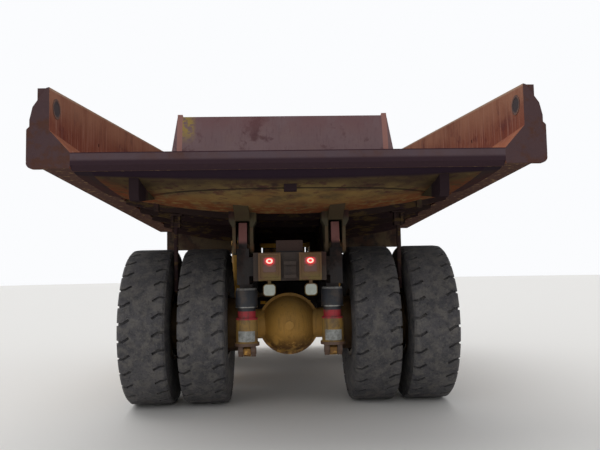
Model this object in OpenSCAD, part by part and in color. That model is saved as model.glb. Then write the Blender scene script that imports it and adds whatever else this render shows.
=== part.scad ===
// Rigid mining dump truck for about 55 tonnes, seen standing empty with its body down.
// X points right, Y forward and Z up, in millimetres. The origin is on the ground, under the
// middle of the truck. Each module works from the rear axle, and on_truck() moves it into place.

/* [Overall] */
// From the rear axle to the front axle
wheelbase = 4300; // [4200:10:4500]
// From the rear axle back to the tail of the body
tail_reach = 2795; // [2700:5:2900]
// From the front axle forward to the face of the bumper
nose_reach = 2155; // [2100:5:2250]

/* [Tyres and wheels] */
// Outer diameter of a tyre
tyre_d = 2150; // [2100:5:2180]
// Width of a tyre at its sidewalls
tyre_w = 640; // [610:5:660]
// Width of the tread
tread_w = 596; // [570:2:610]
// Diameter of the rim where the tyre sits
rim_d = 889; // [860:1:920]
// Depth of the grooves between the lugs
lug_depth = 42; // [20:1:60]
// Number of lugs round each shoulder
lugs = 30; // [24:1:34]
// Width of a groove
groove_w = 34; // [24:1:50]
// How far a groove runs straight in from the shoulder before it bends
groove_run = 75; // [60:5:110]
// Length of the bent end of a groove
groove_end = 110; // [80:5:140]
// Slant of a groove's bent end
groove_slant = 32; // [0:1:40]
// Distance between the middles of the front tyres
front_track = 3480; // [3440:5:3560]
// Distance between the middles of the rear pairs
rear_track = 3020; // [3000:5:3040]
// Distance between the two tyres of a pair
dual_pitch = 750; // [740:5:780]
// Wall of a wheel rim
rim_wall = 22; // [14:1:30]

/* [Frame] */
// Middle of each rail, out from the centre
rail_x = 570; // [550:5:585]
// Width of a rail
rail_w = 150; // [120:5:160]
// Top of the rails below the body
rail_top = 2095; // [2080:5:2100]
// Top of the rails below the engine
rail_front_top = 1720; // [1680:5:1760]
// Depth of the rails over the rear axle
rail_depth = 440; // [400:5:460]

/* [Axle and suspension] */
// Radius of the differential's dome
dome_r = 420; // [390:5:430]
// Diameter of the axle tubes
axle_tube_d = 420; // [380:5:460]
// Middle of each rear strut, out from the centre
rear_strut_x = 560; // [550:5:575]
// Rear struts behind the rear axle
rear_strut_back = 800; // [780:5:820]
// Diameter of a rear strut's body
rear_strut_d = 283; // [265:2:290]
// Steering axis of each front wheel, out from the centre
kingpin_x = 1180; // [1160:5:1190]
// Diameter of a front strut's outer tube
front_strut_d = 290; // [270:5:300]
// Length of the steering arms
steer_arm = 450; // [430:5:480]

/* [Body hinge and hoists] */
// Hinge of the body behind the rear axle
hinge_back = 1250; // [1240:5:1270]
// Height of the body's hinge
hinge_z = 2120; // [2110:5:2130]
// Diameter of the hinge pins
hinge_pin_d = 110; // [90:5:120]
// Gap round a pin in its bore
pin_gap = 1; // [0.5:0.5:2]
// Middle of each hoist, out from the centre
hoist_x = 800; // [795:5:805]
// Lower pins of the hoists, ahead of the rear axle
hoist_foot_y = 1500; // [1480:5:1520]
// Height of the hoists' lower pins
hoist_foot_z = 1050; // [1040:5:1060]
// Upper pins of the hoists, ahead of the rear axle
hoist_head_y = 1700; // [1690:5:1710]
// Height of the hoists' upper pins
hoist_head_z = 2450; // [2440:5:2460]
// Diameter of a hoist's barrel
hoist_d = 240; // [220:5:260]

/* [Body] */
// Half of the straight lip at the tail
lip_half = 2211; // [2180:1:2240]
// Top of the lip
lip_z = 3037; // [3020:1:3060]
// Depth of the lip's face
lip_h = 130; // [110:5:160]
// Half of the load space at the tail
bed_tail_half = 2420; // [2390:5:2440]
// Half of the load space at the headboard
bed_front_half = 2290; // [2270:5:2310]
// Plate of the side walls and the floor
bed_plate = 18; // [14:1:25]
// Depth of the ribs on the side walls
rib_d = 150; // [130:5:170]
// Height of the side walls at the tail
wing_z = 3705; // [3650:5:3750]
// Height of the side walls at the headboard
wall_front_z = 4180; // [4100:5:4250]
// From the headboard's top edge forward to the front axle
head_back = 778; // [760:2:800]
// Height of the headboard
head_z = 4961; // [4900:1:5000]
// Half of the headboard's top
head_half = 2117; // [2080:1:2150]
// Height of the floor at the front, at its sides
floor_front_z = 2760; // [2740:5:2790]
// How much lower the floor is at the centre
floor_dip = 110; // [80:5:130]
// How far the canopy reaches ahead of the headboard
canopy_reach = 2260; // [2200:5:2350]

/* [Deck and cab] */
// Top of the deck
deck_z = 2640; // [2620:5:2650]
// Half of the deck's width
deck_half = 2300; // [2250:5:2350]
// From the deck's back edge forward to the front axle
deck_back = 1000; // [980:5:1010]
// Width of the cab
cab_w = 1300; // [1260:5:1340]
// Length of the cab
cab_l = 1700; // [1650:5:1760]
// Height of the cab
cab_h = 1640; // [1600:5:1680]
// Wall of the cab and its door
cab_wall = 55; // [40:1:70]
// Width of the bonnet
hood_w = 1180; // [1150:5:1220]

/* [Hidden] */
// Gap at which a piece rests against its seat
seat = 0.3;
overall = tail_reach + wheelbase + nose_reach;
rear_y = tail_reach - overall / 2;
// What stands over the front axle's end of the frame moves with the wheelbase
deck_y = wheelbase - deck_back;
head_y = wheelbase - head_back;
tyre_r = tyre_d / 2;
rim_r = rim_d / 2;
axle_z = tyre_r;
front_wheel_x = front_track / 2;
dual_in = rear_track / 2 - dual_pitch / 2;
dual_out = rear_track / 2 + dual_pitch / 2;
// Rear axle, its brakes and its spindles
spindle_end = dual_out - 90;
spindle_d = 400;
brake_in = 680;
brake_out = dual_in - 110;
brake_r = 375;
strut_foot_z = 790;
strut_pin_d = 84;
strut_flange_z = 900;
strut_cap_z = 1600;
link_nose_y = 1350;
link_nose_z = 850;
link_pin_d = 90;
link_pin_l = 400;
link_rod_y = 330;
rod_end_z = 1400;
rod_frame_z = 1480;
// Frame ends
tail_y = -hinge_back - 150;
rail_low = 1300;
nose_y = wheelbase + nose_reach;
rail_nose = nose_y - 300;
// Front struts and knuckles
front_rod_d = 180;
front_tower_z = 2120;
kingpin_top = axle_z + 330;
front_spindle_d = 200;
front_spindle_l = 140;
// Steering
arm_z = 880;
steer_foot_x = 150;
steer_foot_y = wheelbase - steer_arm - 30;
steer_cyl_z = arm_z + 66;
steer_barrel_l = 630;
steer_rod_start = 362;
steer_beam_z = 1040;
steer_l = norm([kingpin_x - steer_foot_x, 30]);
steer_tilt = atan2(30, kingpin_x - steer_foot_x);
// Hoists
hoist_pin_d = 90;
hoist_barrel_l = 1300;
hoist_lean = atan2(hoist_head_y - hoist_foot_y, hoist_head_z - hoist_foot_z);
hoist_l = norm([hoist_head_y - hoist_foot_y, hoist_head_z - hoist_foot_z]);
// Body
head_foot_y = head_y - 422;
head_lean = atan2(head_y - head_foot_y, head_z - floor_front_z);
head_low_half = bed_front_half + 110;
floor_slope = atan2(lip_z - floor_front_z, head_foot_y + tail_reach);
floor_roll = asin(floor_dip / lip_half);
bed_taper = atan2(bed_tail_half - bed_front_half, head_foot_y + tail_reach);
bolsters = [-hinge_back, -550, 250, 1050, head_foot_y - 1120, head_foot_y - 350];
tail_bolsters = [-tail_reach + 445, -tail_reach + 1045];
bolster_w = 180;
bolster_d = 305;
bolster_end_d = 150;
tail_bolster_d = 162;
stringer_x = 1620;
brace_z = 2570;
ear_w = 100;
ear_r = 305;
under_half = lip_half + max(0, bed_front_half - bed_tail_half);
floor_l = head_foot_y + tail_reach + 600;
beam_w = 180;
beam_back = -880;
bracket_x = rail_w / 2 + 32;
corner_up = 233;
rail_d = 130;
ribs = 7;
post_d = 225;
eye_y = 210;
eye_z = 3495;
eye_d = 100;
ear_in = 100;
ear_t = 90;
ejector_y = -550;
ejector_low = 1560;
// Underside of the floor at a place, and the lower edge of the bolster there
function floor_at(x, y) =
  lip_z - floor_dip * (1 - x / lip_half) - (y + tail_reach) * tan(floor_slope) - bed_plate - seat;
function bolster_foot(x, y) =
  let (sag = bolster_d - bolster_end_d + floor_dip,
    r = (pow(lip_half, 2) + pow(sag, 2)) / (2 * sag))
    floor_at(0, y) - bolster_d + r - sqrt(r * r - x * x);
// Tail panel and lamps
panel_half = 440;
panel_y = -1500;
panel_low = 1700;
panel_top = 2040;
lamp_x = 245;
tail_lamp_z = [1846, 1936];
tail_lamp = [150, 84];
reverse_lamp = [134, 128];
reverse_z = 1590;
headlamps = [820, 1080];
headlamp_z = 1060;
// Bumper
bumper_half = 2050;
bumper_y = rail_nose + seat;
bumper_low = 820;
bumper_h = 420;
tow_eye_x = 430;
tow_eye_z = 720;
tow_eye_d = 90;
// Engine bay
hood_back = deck_y + 420;
hood_nose = wheelbase + 1780;
rad_y = wheelbase + 1460;
engine_y = hood_back + 60;
engine_l = rad_y - engine_y - 300;
grille_y = wheelbase + 1685;
grille_half = hood_w / 2 - 12 - seat;
grille_low = rail_front_top + seat;
grille_top = 2760;
grille_bars = 11;
hood_low = 2300;
hood_top = 3040;
// Deck, ladders and tanks
deck_t = 60;
deck_nose = wheelbase + 1850;
rail_up = 1000;
ladder_x = 1500;
tank_x = 1010;
tank_y = 1400;
tank_z = 880;
tank_ears = [2080, 2620];
// Cab
cab_right = -hood_w / 2 - 40;
cab_left = cab_right - cab_w;
cab_x = (cab_left + cab_right) / 2;
cab_back = deck_y + 700;
cab_front = cab_back + cab_l;
visor_slant = 130;
sill_z = deck_z + 700;
top_z = deck_z + cab_h - 110;
door_back = cab_back + 230;
door_front = door_back + 800;
door_gap = 6;
door_axis_x = cab_left - 16;
door_axis_y = door_front + 10;
door_hinges = [deck_z + 300, deck_z + 1250];
rust = "#7a4a2e";
ochre = "#b08a2e";
yellow = "#d9a425";
dark = "#2b2b2e";
steel = "#8b8f94";

// Moves what is drawn from the rear axle to its place on the truck
module on_truck() translate([0, rear_y, 0]) children();

// Draws a piece on the right and again on the left
module both_sides() {
  children();
  mirror([1, 0, 0]) children();
}

// Takes a piece drawn on the right to the side that is asked for
module to_side(side) mirror([side > 0 ? 0 : 1, 0, 0]) children();

// A plate whose outline is drawn in Y and Z, with its middle at x
module side_plate(x, t) translate([x - t / 2, 0, 0]) rotate([90, 0, 90]) linear_extrude(t) children();

// A beam whose outline is drawn in X and Z, from y forward
module cross_beam(y, l) translate([0, y + l, 0]) rotate([90, 0, 0]) linear_extrude(l) children();

// A box given by its lowest corner and its highest corner
module block(low, high) translate(low) cube(high - low);

// A round bar along X, from x outward
module bar_x(x, l, d) translate([x, 0, 0]) rotate([0, 90, 0]) cylinder(h = l, d = d, $fn = 48);

// A round bar from one point to another
module bar(from, to, d) {
  way = to - from;
  long = norm(way);
  flat = norm([way[0], way[1]]);
  translate(from)
    rotate([0, atan2(flat, way[2]), atan2(way[1], way[0])])
      cylinder(h = long, d = d, $fn = 24);
}

// Half of a tyre's section, as pairs of radius and half width, from bead to crown
shoulder_r = tyre_r - 75;
bead_half = tyre_w / 2 - 80;
function sidewall(k) =
  let (t = k / 7)
    [rim_r + (shoulder_r - rim_r) * t, bead_half + 80 * sin(150 * t)];
tyre_half = concat(
  [for (k = [0 : 7]) sidewall(k)],
  [[tyre_r - 34, tread_w / 2], [tyre_r - 8, tread_w / 2 - 26], [tyre_r, tread_w / 2 - 90]]);
tyre_section = concat(
  tyre_half,
  [for (k = [len(tyre_half) - 1 : -1 : 0]) [tyre_half[k][0], -tyre_half[k][1]]]);

// One tyre, its axis along X, with bent grooves let in from both shoulders
module tyre() {
  pitch = 360 / lugs;
  outer_l = groove_run + 70;
  difference() {
    rotate([0, 90, 0]) rotate_extrude($fn = 96) polygon(tyre_section);
    for (side = [-1, 1], i = [0 : lugs - 1])
      rotate([(i + (side > 0 ? 0.5 : 0)) * pitch, 0, 0])
        translate([side * (tread_w / 2 - groove_run), 0, tyre_r - lug_depth]) {
          rotate([0, side * 19, 0]) translate([side > 0 ? 0 : -outer_l, -groove_w / 2, 0])
            cube([outer_l, groove_w, 3 * lug_depth]);
          rotate([0, 0, groove_slant]) translate([side > 0 ? 12 - groove_end : -12, -groove_w / 2, 0])
            cube([groove_end, groove_w, 2 * lug_depth]);
        }
  }
}

// One rim, its axis along X: a barrel, two flanges and a disc at x from its middle
module rim(disc_x) {
  half = bead_half + 28;
  bead_r = rim_r - 1;
  rotate([0, 90, 0]) rotate_extrude($fn = 96) {
    translate([bead_r - rim_wall, -half]) square([rim_wall, 2 * half]);
    for (s = [-1, 1])
      translate([bead_r - rim_wall, s * half - 10]) square([rim_wall + 28, 20]);
    translate([150, disc_x - 15]) square([bead_r - rim_wall - 149, 30]);
  }
}

// Hub and two rims of a rear wheel pair
module rear_wheel(side) to_side(side) on_truck() translate([0, 0, axle_z]) color(yellow)
  difference() {
    union() {
      translate([dual_in, 0, 0]) rim(0);
      translate([dual_out, 0, 0]) rim(0);
      bar_x(dual_in - 90, dual_pitch + 180, 660);
      bar_x(dual_out + 89, 70, 520);
      bar_x(dual_out + 158, 40, 280);
    }
    bar_x(dual_in - 100, spindle_end - dual_in + 110, spindle_d + 2 * pin_gap);
  }

// Every tyre points the same way, so the left ones aren't mirrored
module rear_tyres(side) on_truck() color(dark)
  for (x = [dual_in, dual_out]) translate([side * x, 0, axle_z]) tyre();

// Hub and rim of a front wheel, with its disc set out from the middle
module front_wheel(side) to_side(side)
  on_truck() translate([front_wheel_x, wheelbase, axle_z]) color(yellow)
    difference() {
      union() {
        rim(120);
        bar_x(-60, 260, 400);
        bar_x(199, 60, 300);
      }
      bar_x(-70, front_spindle_l + 80, front_spindle_d + 2 * pin_gap);
    }

module front_tyre(side)
  on_truck() translate([side * front_wheel_x, wheelbase, axle_z]) color(dark) tyre();

// Turns a profile round the truck's Y axis, so that its own Y runs backward
module turned_back() rotate([90, 0, 0]) rotate_extrude($fn = 72) children();

// Housing of the rear axle: a dome over the differential, tubes, brakes and strut arms
module rear_axle() on_truck() color(ochre) {
  difference() {
    union() {
      translate([0, 0, axle_z]) {
        turned_back() {
          intersection() {
            translate([0, -60]) scale([1, 1.05]) circle(r = dome_r, $fn = 96);
            translate([0, 90]) square([dome_r, 400]);
          }
          translate([0, -230]) square([dome_r - 15, 322]);
          translate([0, 40]) square([dome_r + 12, 36]);
        }
        bar_x(-spindle_end + 60, 2 * spindle_end - 120, spindle_d);
        bar_x(-brake_in - 10, 2 * brake_in + 20, axle_tube_d);
        both_sides() {
          bar_x(brake_in, brake_out - brake_in, 2 * brake_r);
          bar_x(brake_in - 70, 72, axle_tube_d + 130);
        }
        translate([0, -dome_r + 40, 0]) rotate([90, 0, 0]) cylinder(h = 40, d = 120, $fn = 32);
      }
      // Arms that carry the feet of the rear struts
      both_sides() side_plate(rear_strut_x, 90) polygon([
        [0, axle_z + 150], [-rear_strut_back + 210, strut_foot_z + 62],
        [-rear_strut_back, strut_foot_z + 62], [-rear_strut_back - 65, strut_foot_z + 30],
        [-rear_strut_back - 65, strut_foot_z - 40], [-rear_strut_back + 20, strut_foot_z - 75],
        [0, axle_z - 180]]);
      // Nose that the drawbar is bolted to
      block([-150, 200, axle_z - 130], [150, 420, axle_z + 130]);
      both_sides() block([330, 60, axle_z - 90], [470, 300, axle_z + 90]);
      // Lug for the sideways rod
      side_plate(110, 60) polygon([
        [link_rod_y - 60, axle_z + 129], [link_rod_y + 60, axle_z + 129],
        [link_rod_y + 50, rod_end_z + 60], [link_rod_y - 50, rod_end_z + 60]]);
    }
    both_sides() translate([0, -rear_strut_back, strut_foot_z])
      bar_x(rear_strut_x - 60, 120, strut_pin_d + 2 * pin_gap);
    translate([0, link_rod_y, rod_end_z]) bar_x(60, 100, 62);
  }
}

// A bent drawbar from the axle to the frame, and the rod that holds the axle sideways
module axle_links() on_truck() color(ochre) {
  // Two legs meet at a ball under the frame's middle crossmember
  both_sides() {
    translate([400, 300 + seat, axle_z]) rotate([-90, 0, 0]) cylinder(h = 30, d = 160, $fn = 48);
    bar([400, 326, axle_z], [70, link_nose_y - 60, link_nose_z], 110);
  }
  difference() {
    translate([0, link_nose_y, link_nose_z]) bar_x(-110, 220, 190);
    translate([0, link_nose_y, link_nose_z]) bar_x(-120, 240, link_pin_d + 2 * pin_gap);
  }
  translate([0, link_nose_y, link_nose_z]) bar_x(-link_pin_l / 2, link_pin_l, link_pin_d);
  // Sideways rod from the axle's lug to the left rail
  bar([74, link_rod_y, rod_end_z + 8], [-rail_x + 132, link_rod_y, rod_frame_z], 60);
  translate([0, link_rod_y, rod_frame_z]) bar_x(-rail_x + 120 + seat, 24, 90);
  translate([0, link_rod_y, rod_end_z]) bar_x(40, 110, 60);
}

// Rear struts: a cover above, a red band, the cylinder, a flange and a clevis
module rear_struts() on_truck() both_sides() translate([rear_strut_x, -rear_strut_back, 0]) {
  top = strut_cap_z;
  color(steel) translate([0, 0, top - 26]) cylinder(h = 26, d = rear_strut_d - 20, $fn = 64);
  color(dark) translate([0, 0, top - 250]) cylinder(h = 225, d = rear_strut_d + 4, $fn = 64);
  color("#a03020") translate([0, 0, top - 385])
    cylinder(h = 136, d = rear_strut_d - 50, $fn = 64);
  color(yellow) translate([0, 0, strut_flange_z])
    cylinder(h = top - 384 - strut_flange_z, d = rear_strut_d, $fn = 64);
  color(ochre) difference() {
    union() {
      translate([0, 0, strut_flange_z - 40]) cylinder(h = 41, d = rear_strut_d + 40, $fn = 64);
      for (s = [-1, 1]) side_plate(s * 82, 60) polygon([
        [-80, strut_flange_z - 39], [80, strut_flange_z - 39], [80, strut_foot_z],
        [45, strut_foot_z - 70], [-45, strut_foot_z - 70], [-80, strut_foot_z]]);
      translate([0, 0, strut_foot_z]) bar_x(-118, 236, strut_pin_d);
    }
  }
}

// Front struts: each rod stands on the steering axis, held in a tower of the frame
module front_struts() on_truck() both_sides() translate([kingpin_x, wheelbase, 0]) {
  color(steel) {
    translate([0, 0, axle_z - 250])
      cylinder(h = front_tower_z + 1 - axle_z + 250, d = front_rod_d, $fn = 64);
    translate([0, 0, front_tower_z + seat]) cylinder(h = 40, d = front_strut_d - 40, $fn = 64);
  }
  color(dark) translate([0, 0, kingpin_top + 6])
    cylinder(h = front_tower_z - 170 - seat - kingpin_top - 6, d = front_rod_d + 70, $fn = 64);
}

// Steered knuckle: an outer tube on the strut's rod, a spindle and an arm that points back
module knuckle(side) to_side(side) on_truck() translate([kingpin_x, wheelbase, 0]) color(ochre) {
  difference() {
    union() {
      translate([0, 0, axle_z - 300])
        cylinder(h = kingpin_top - axle_z + 300, d = front_strut_d, $fn = 64);
      translate([0, 0, kingpin_top - 50])
        cylinder(h = 50, d = front_strut_d + 30, $fn = 64);
      translate([0, 0, axle_z]) {
        bar_x(90, front_wheel_x - kingpin_x + front_spindle_l - 90, front_spindle_d);
        bar_x(110, front_wheel_x - kingpin_x - 60 - 130, 360);
        bar_x(front_wheel_x - kingpin_x - 200, 120, 640);
      }
      // Steering arm with the pins of the tie rod and of the cylinder
      translate([0, 0, arm_z]) {
        translate([-60, -steer_arm, -25]) cube([120, steer_arm, 50]);
        translate([0, -steer_arm, -25]) cylinder(h = 50, d = 150, $fn = 48);
        translate([0, 0, -25]) cylinder(h = 50, d = front_strut_d - 10, $fn = 64);
      }
      translate([0, -steer_arm, arm_z - 120]) cylinder(h = 121, d = 60, $fn = 48);
      translate([0, -steer_arm, arm_z - 132]) cylinder(h = 14, d = 90, $fn = 48);
    }
    translate([0, 0, axle_z - 260]) cylinder(h = 2000, d = front_rod_d + 2 * pin_gap, $fn = 64);
  }
}

// Rod that joins the two steering arms
module tie_rod() on_truck() translate([0, wheelbase - steer_arm, arm_z - 72]) color(ochre)
  difference() {
    union() {
      bar_x(-kingpin_x + 50, 2 * kingpin_x - 100, 64);
      both_sides() translate([kingpin_x, 0, -38]) cylinder(h = 76, d = 130, $fn = 48);
      both_sides() bar_x(kingpin_x - 260, 170, 84);
    }
    both_sides() translate([kingpin_x, 0, -50])
      cylinder(h = 100, d = 60 + 2 * pin_gap, $fn = 48);
  }

// Barrel of a steering cylinder, from its pin near the centre
module steer_barrel(side) to_side(side) on_truck()
  translate([steer_foot_x, steer_foot_y, steer_cyl_z]) rotate([0, 0, steer_tilt]) color(ochre)
    difference() {
      union() {
        cylinder(h = 70, d = 120, center = true, $fn = 48);
        bar_x(54, steer_barrel_l - 14, 120);
      }
      cylinder(h = 100, d = 50 + 2 * pin_gap, center = true, $fn = 48);
      bar_x(90, steer_barrel_l, 60 + 2 * pin_gap);
    }

// Rod of a steering cylinder, with its open eye over the steering arm
module steer_rod(side) to_side(side) on_truck()
  translate([steer_foot_x, steer_foot_y, steer_cyl_z]) rotate([0, 0, steer_tilt]) color(steel)
    difference() {
      union() {
        bar_x(steer_rod_start, steer_l - 40 - steer_rod_start, 60);
        translate([steer_l, 0, 0]) cylinder(h = 70, d = 120, center = true, $fn = 48);
      }
      translate([steer_l, 0, 0]) cylinder(h = 100, d = 50, center = true, $fn = 48);
    }

// Welded frame: two rails, crossmembers, towers for the front struts and bosses for the body
module frame() on_truck() color(ochre) difference() {
  union() {
    both_sides() {
      side_plate(rail_x, rail_w) polygon([
        [tail_y, rail_top], [deck_y - 70, rail_top], [deck_y + 300, rail_front_top], [rail_nose, rail_front_top],
        [rail_nose, rail_low], [1150, rail_low], [620, rail_top - rail_depth],
        [tail_y, rail_top - rail_depth]]);
      // Boss of the body's hinge
      translate([0, -hinge_back, hinge_z]) bar_x(rail_x - ear_w / 2, ear_w, 190);
      side_plate(rail_x, ear_w) intersection() {
        polygon([
          [tail_y, rail_top - 1], [-hinge_back - 70, hinge_z + ear_r],
          [-hinge_back + 70, hinge_z + ear_r], [-hinge_back + 300, rail_top - 1]]);
        translate([-hinge_back, hinge_z]) circle(r = ear_r, $fn = 96);
      }
      // Seat of a rear strut
      block([rear_strut_x - 83, -rear_strut_back - 110, strut_cap_z + seat],
        [rear_strut_x + 83, -rear_strut_back + 110, rail_top - rail_depth + 1]);
      // Foot of a hoist: a plate below the rail and a boss outside it
      side_plate(rail_x, rail_w) polygon([
        [hoist_foot_y - 340, rail_low + 1], [hoist_foot_y + 340, rail_low + 1],
        [hoist_foot_y + 110, hoist_foot_z - 100], [hoist_foot_y - 110, hoist_foot_z - 100]]);
      translate([0, hoist_foot_y, hoist_foot_z]) {
        bar_x(rail_x, hoist_x - 68 - rail_x, 180);
        bar_x(rail_x, hoist_x + 75 - rail_x, hoist_pin_d);
        bar_x(hoist_x + 64, 20, hoist_pin_d + 50);
      }
      // Tower that holds a front strut
      translate([kingpin_x, wheelbase, front_tower_z - 170])
        cylinder(h = 170, d = front_strut_d, $fn = 64);
      side_plate((rail_x + rail_w / 2 + kingpin_x - 140) / 2, kingpin_x - 138 - rail_x - rail_w / 2)
        polygon([
          [wheelbase - 115, front_tower_z - 1], [wheelbase + 115, front_tower_z - 1],
          [wheelbase + 150, rail_front_top - 200], [wheelbase - 150, rail_front_top - 200]]);
      block([rail_x - rail_w / 2, wheelbase - 150, rail_front_top - 200],
        [rail_x + rail_w / 2, wheelbase + 150, front_tower_z - 1]);
      // Ears for the tanks
      for (y = tank_ears)
        block([rail_x, y - 50, rail_front_top - 120], [tank_x - seat, y + 50, rail_front_top]);
    }
    // Tail crossmember and the box on it
    block([-rail_x, tail_y, rail_top - 335], [rail_x, tail_y + 250, rail_top - 105]);
    block([-165, tail_y, rail_top - 106], [165, tail_y + 200, rail_top + 95]);
    // Crossmembers over the axle, over the drawbar's nose, behind the engine and at the front
    block([-rail_x, -150, rail_top - 375], [rail_x, 150, rail_top - 95]);
    block([-rail_x, link_nose_y - 110, rail_low + 40], [rail_x, link_nose_y + 110, rail_low + 330]);
    both_sides() side_plate(174, 30) polygon([
      [link_nose_y - 110, rail_low + 41], [link_nose_y + 110, rail_low + 41],
      [link_nose_y + 80, link_nose_z - 90], [link_nose_y - 80, link_nose_z - 90]]);
    block([-rail_x, deck_y - 150, rail_low + 160], [rail_x, deck_y, rail_low + 400]);
    block([-rail_x, rail_nose - 90, rail_low + 40], [rail_x, rail_nose, rail_front_top - 40]);
    // Hanger of the sideways rod, on the left rail
    block([-rail_x - 1, link_rod_y - 60, rod_frame_z - 60],
      [-rail_x + 120, link_rod_y + 60, rail_top - rail_depth + 150]);
    // Hanger of the steering cylinders, below the engine
    block([-rail_x - 60, steer_foot_y - 70, steer_beam_z],
      [rail_x + 60, steer_foot_y + 70, steer_beam_z + 120]);
    both_sides() block([rail_x - 60, steer_foot_y - 70, steer_beam_z + 119],
      [rail_x + 60, steer_foot_y + 70, rail_low + 1]);
    both_sides() translate([steer_foot_x, steer_foot_y, steer_cyl_z - 55])
      cylinder(h = steer_beam_z - steer_cyl_z + 56, d = 50, $fn = 48);
    both_sides() translate([steer_foot_x, steer_foot_y, steer_cyl_z + 45])
      cylinder(h = steer_beam_z - steer_cyl_z - 44, d = 90, $fn = 48);
    both_sides() translate([steer_foot_x, steer_foot_y, steer_cyl_z - 60])
      cylinder(h = 20, d = 80, $fn = 48);
  }
  both_sides() {
    translate([0, -hinge_back, hinge_z]) bar_x(rail_x - rail_w, 2 * rail_w, hinge_pin_d + 2 * pin_gap);
    translate([kingpin_x, wheelbase, front_tower_z - 180])
      cylinder(h = 190, d = front_rod_d + 2 * seat, $fn = 64);
  }
  translate([0, link_nose_y, link_nose_z]) 
    bar_x(-link_pin_l / 2 - 10, link_pin_l + 20, link_pin_d + 2 * pin_gap);
}

// Front bumper: a bent beam with two towing eyes
module bumper() on_truck() color(yellow) difference() {
  union() {
    translate([0, 0, bumper_low]) linear_extrude(bumper_h) polygon([
      [-bumper_half, bumper_y], [bumper_half, bumper_y], [bumper_half, nose_y - 190],
      [bumper_half - 650, nose_y], [650 - bumper_half, nose_y], [-bumper_half, nose_y - 190]]);
    both_sides() side_plate(rail_x, rail_w - 10) polygon([
      [bumper_y, bumper_low + bumper_h - 1], [bumper_y + 200, bumper_low + bumper_h - 1],
      [bumper_y + 60, rail_front_top - 30], [bumper_y, rail_front_top - 30]]);
    both_sides() side_plate(tow_eye_x, 60) polygon([
      [nose_y - 280, bumper_low + 1], [nose_y - 20, bumper_low + 1],
      [nose_y - 60, tow_eye_z - 80], [nose_y - 240, tow_eye_z - 80]]);
  }
  both_sides() translate([0, nose_y - 150, tow_eye_z]) bar_x(tow_eye_x - 40, 80, tow_eye_d);
  // Pockets of the headlamps
  both_sides() for (x = headlamps)
    translate([x, nose_y - 60, headlamp_z]) rotate([-90, 0, 0]) cylinder(h = 70, d = 190, $fn = 64);
}

// Panel with the tail lamps, and the hitch below it
module lamp_panel() on_truck() color(ochre) {
  difference() {
    union() {
      block([-panel_half, panel_y, panel_low], [panel_half, panel_y + 20, panel_top]);
      block([-150, panel_y + 19, panel_low + 120], [150, tail_y - seat, panel_top - 60]);
      both_sides() block([lamp_x - 133, panel_y - 60, panel_low + 15],
        [lamp_x + 133, panel_y + 1, panel_top - 15]);
      // Rims that stand round the lamp boxes
      both_sides() difference() {
        block([lamp_x - 133, panel_y - 78, panel_low + 15], [lamp_x + 133, panel_y - 59, panel_top - 15]);
        block([lamp_x - 115, panel_y - 79, panel_low + 33], [lamp_x + 115, panel_y - 58, panel_top - 33]);
      }
      // Buckets of the reversing lamps on straps
      both_sides() translate([lamp_x + 5, panel_y - 20, reverse_z])
        lens_shape(reverse_lamp + [18, 18], 60, 44, 0);
      both_sides() block([lamp_x - 15, panel_y + 4, reverse_z + 60],
        [lamp_x + 25, panel_y + 16, panel_low + 20]);
      // Hitch between the lamps
      block([-75, panel_y - 90, panel_low + 30], [75, panel_y + 1, panel_low + 70]);
      block([-75, panel_y - 90, panel_low + 190], [75, panel_y + 1, panel_low + 230]);
      block([-75, panel_y - 30, panel_low + 31], [75, panel_y + 1, panel_low + 191]);
    }
    both_sides() translate([lamp_x, panel_y - 61, 0]) for (z = tail_lamp_z)
      translate([0, 0, z]) lens_shape(tail_lamp, 40, 12, 0);
    both_sides() translate([lamp_x + 5, panel_y - 21, reverse_z]) lens_shape(reverse_lamp, 30, 38, 0);
    translate([0, panel_y - 55, panel_low]) cylinder(h = 300, d = 44, $fn = 48);
  }
}

// A plate with round corners that stands upright and runs forward, drawn in by a margin
module lens_shape(size, l, r, margin) {
  w = size[0] - 2 * margin;
  h = size[1] - 2 * margin;
  cross_beam(0, l) {
    square([w - 2 * r, h], center = true);
    square([w, h - 2 * r], center = true);
    for (x = [-1, 1], z = [-1, 1]) translate([x * (w / 2 - r), z * (h / 2 - r)]) circle(r = r, $fn = 32);
  }
}

// Red lenses of the tail lamps
module tail_lamps() on_truck() color("red") both_sides()
  for (z = tail_lamp_z) translate([lamp_x, panel_y - 68, z]) lens_shape(tail_lamp, 46.7, 12, seat);

// Clear lenses: two that shine back for reversing, and the headlamps
module white_lamps() on_truck() color("white") both_sides() {
  translate([lamp_x + 5, panel_y - 28, reverse_z]) lens_shape(reverse_lamp, 36.7, 38, seat);
  for (x = headlamps) translate([x, nose_y - 60 + seat, headlamp_z]) rotate([-90, 0, 0])
    cylinder(h = 50, d = 190 - 2 * seat, $fn = 64);
}

// Engine as one plain block, with the feet that stand on the rails' inner sides
module engine() on_truck() color(yellow) {
  block([-410, engine_y, 1190], [410, engine_y + engine_l, 2280]);
  both_sides() for (y = [engine_y + 250, engine_y + engine_l - 350])
    block([409, y, 1500], [rail_x - rail_w / 2 - seat, y + 120, 1600]);
}

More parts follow.
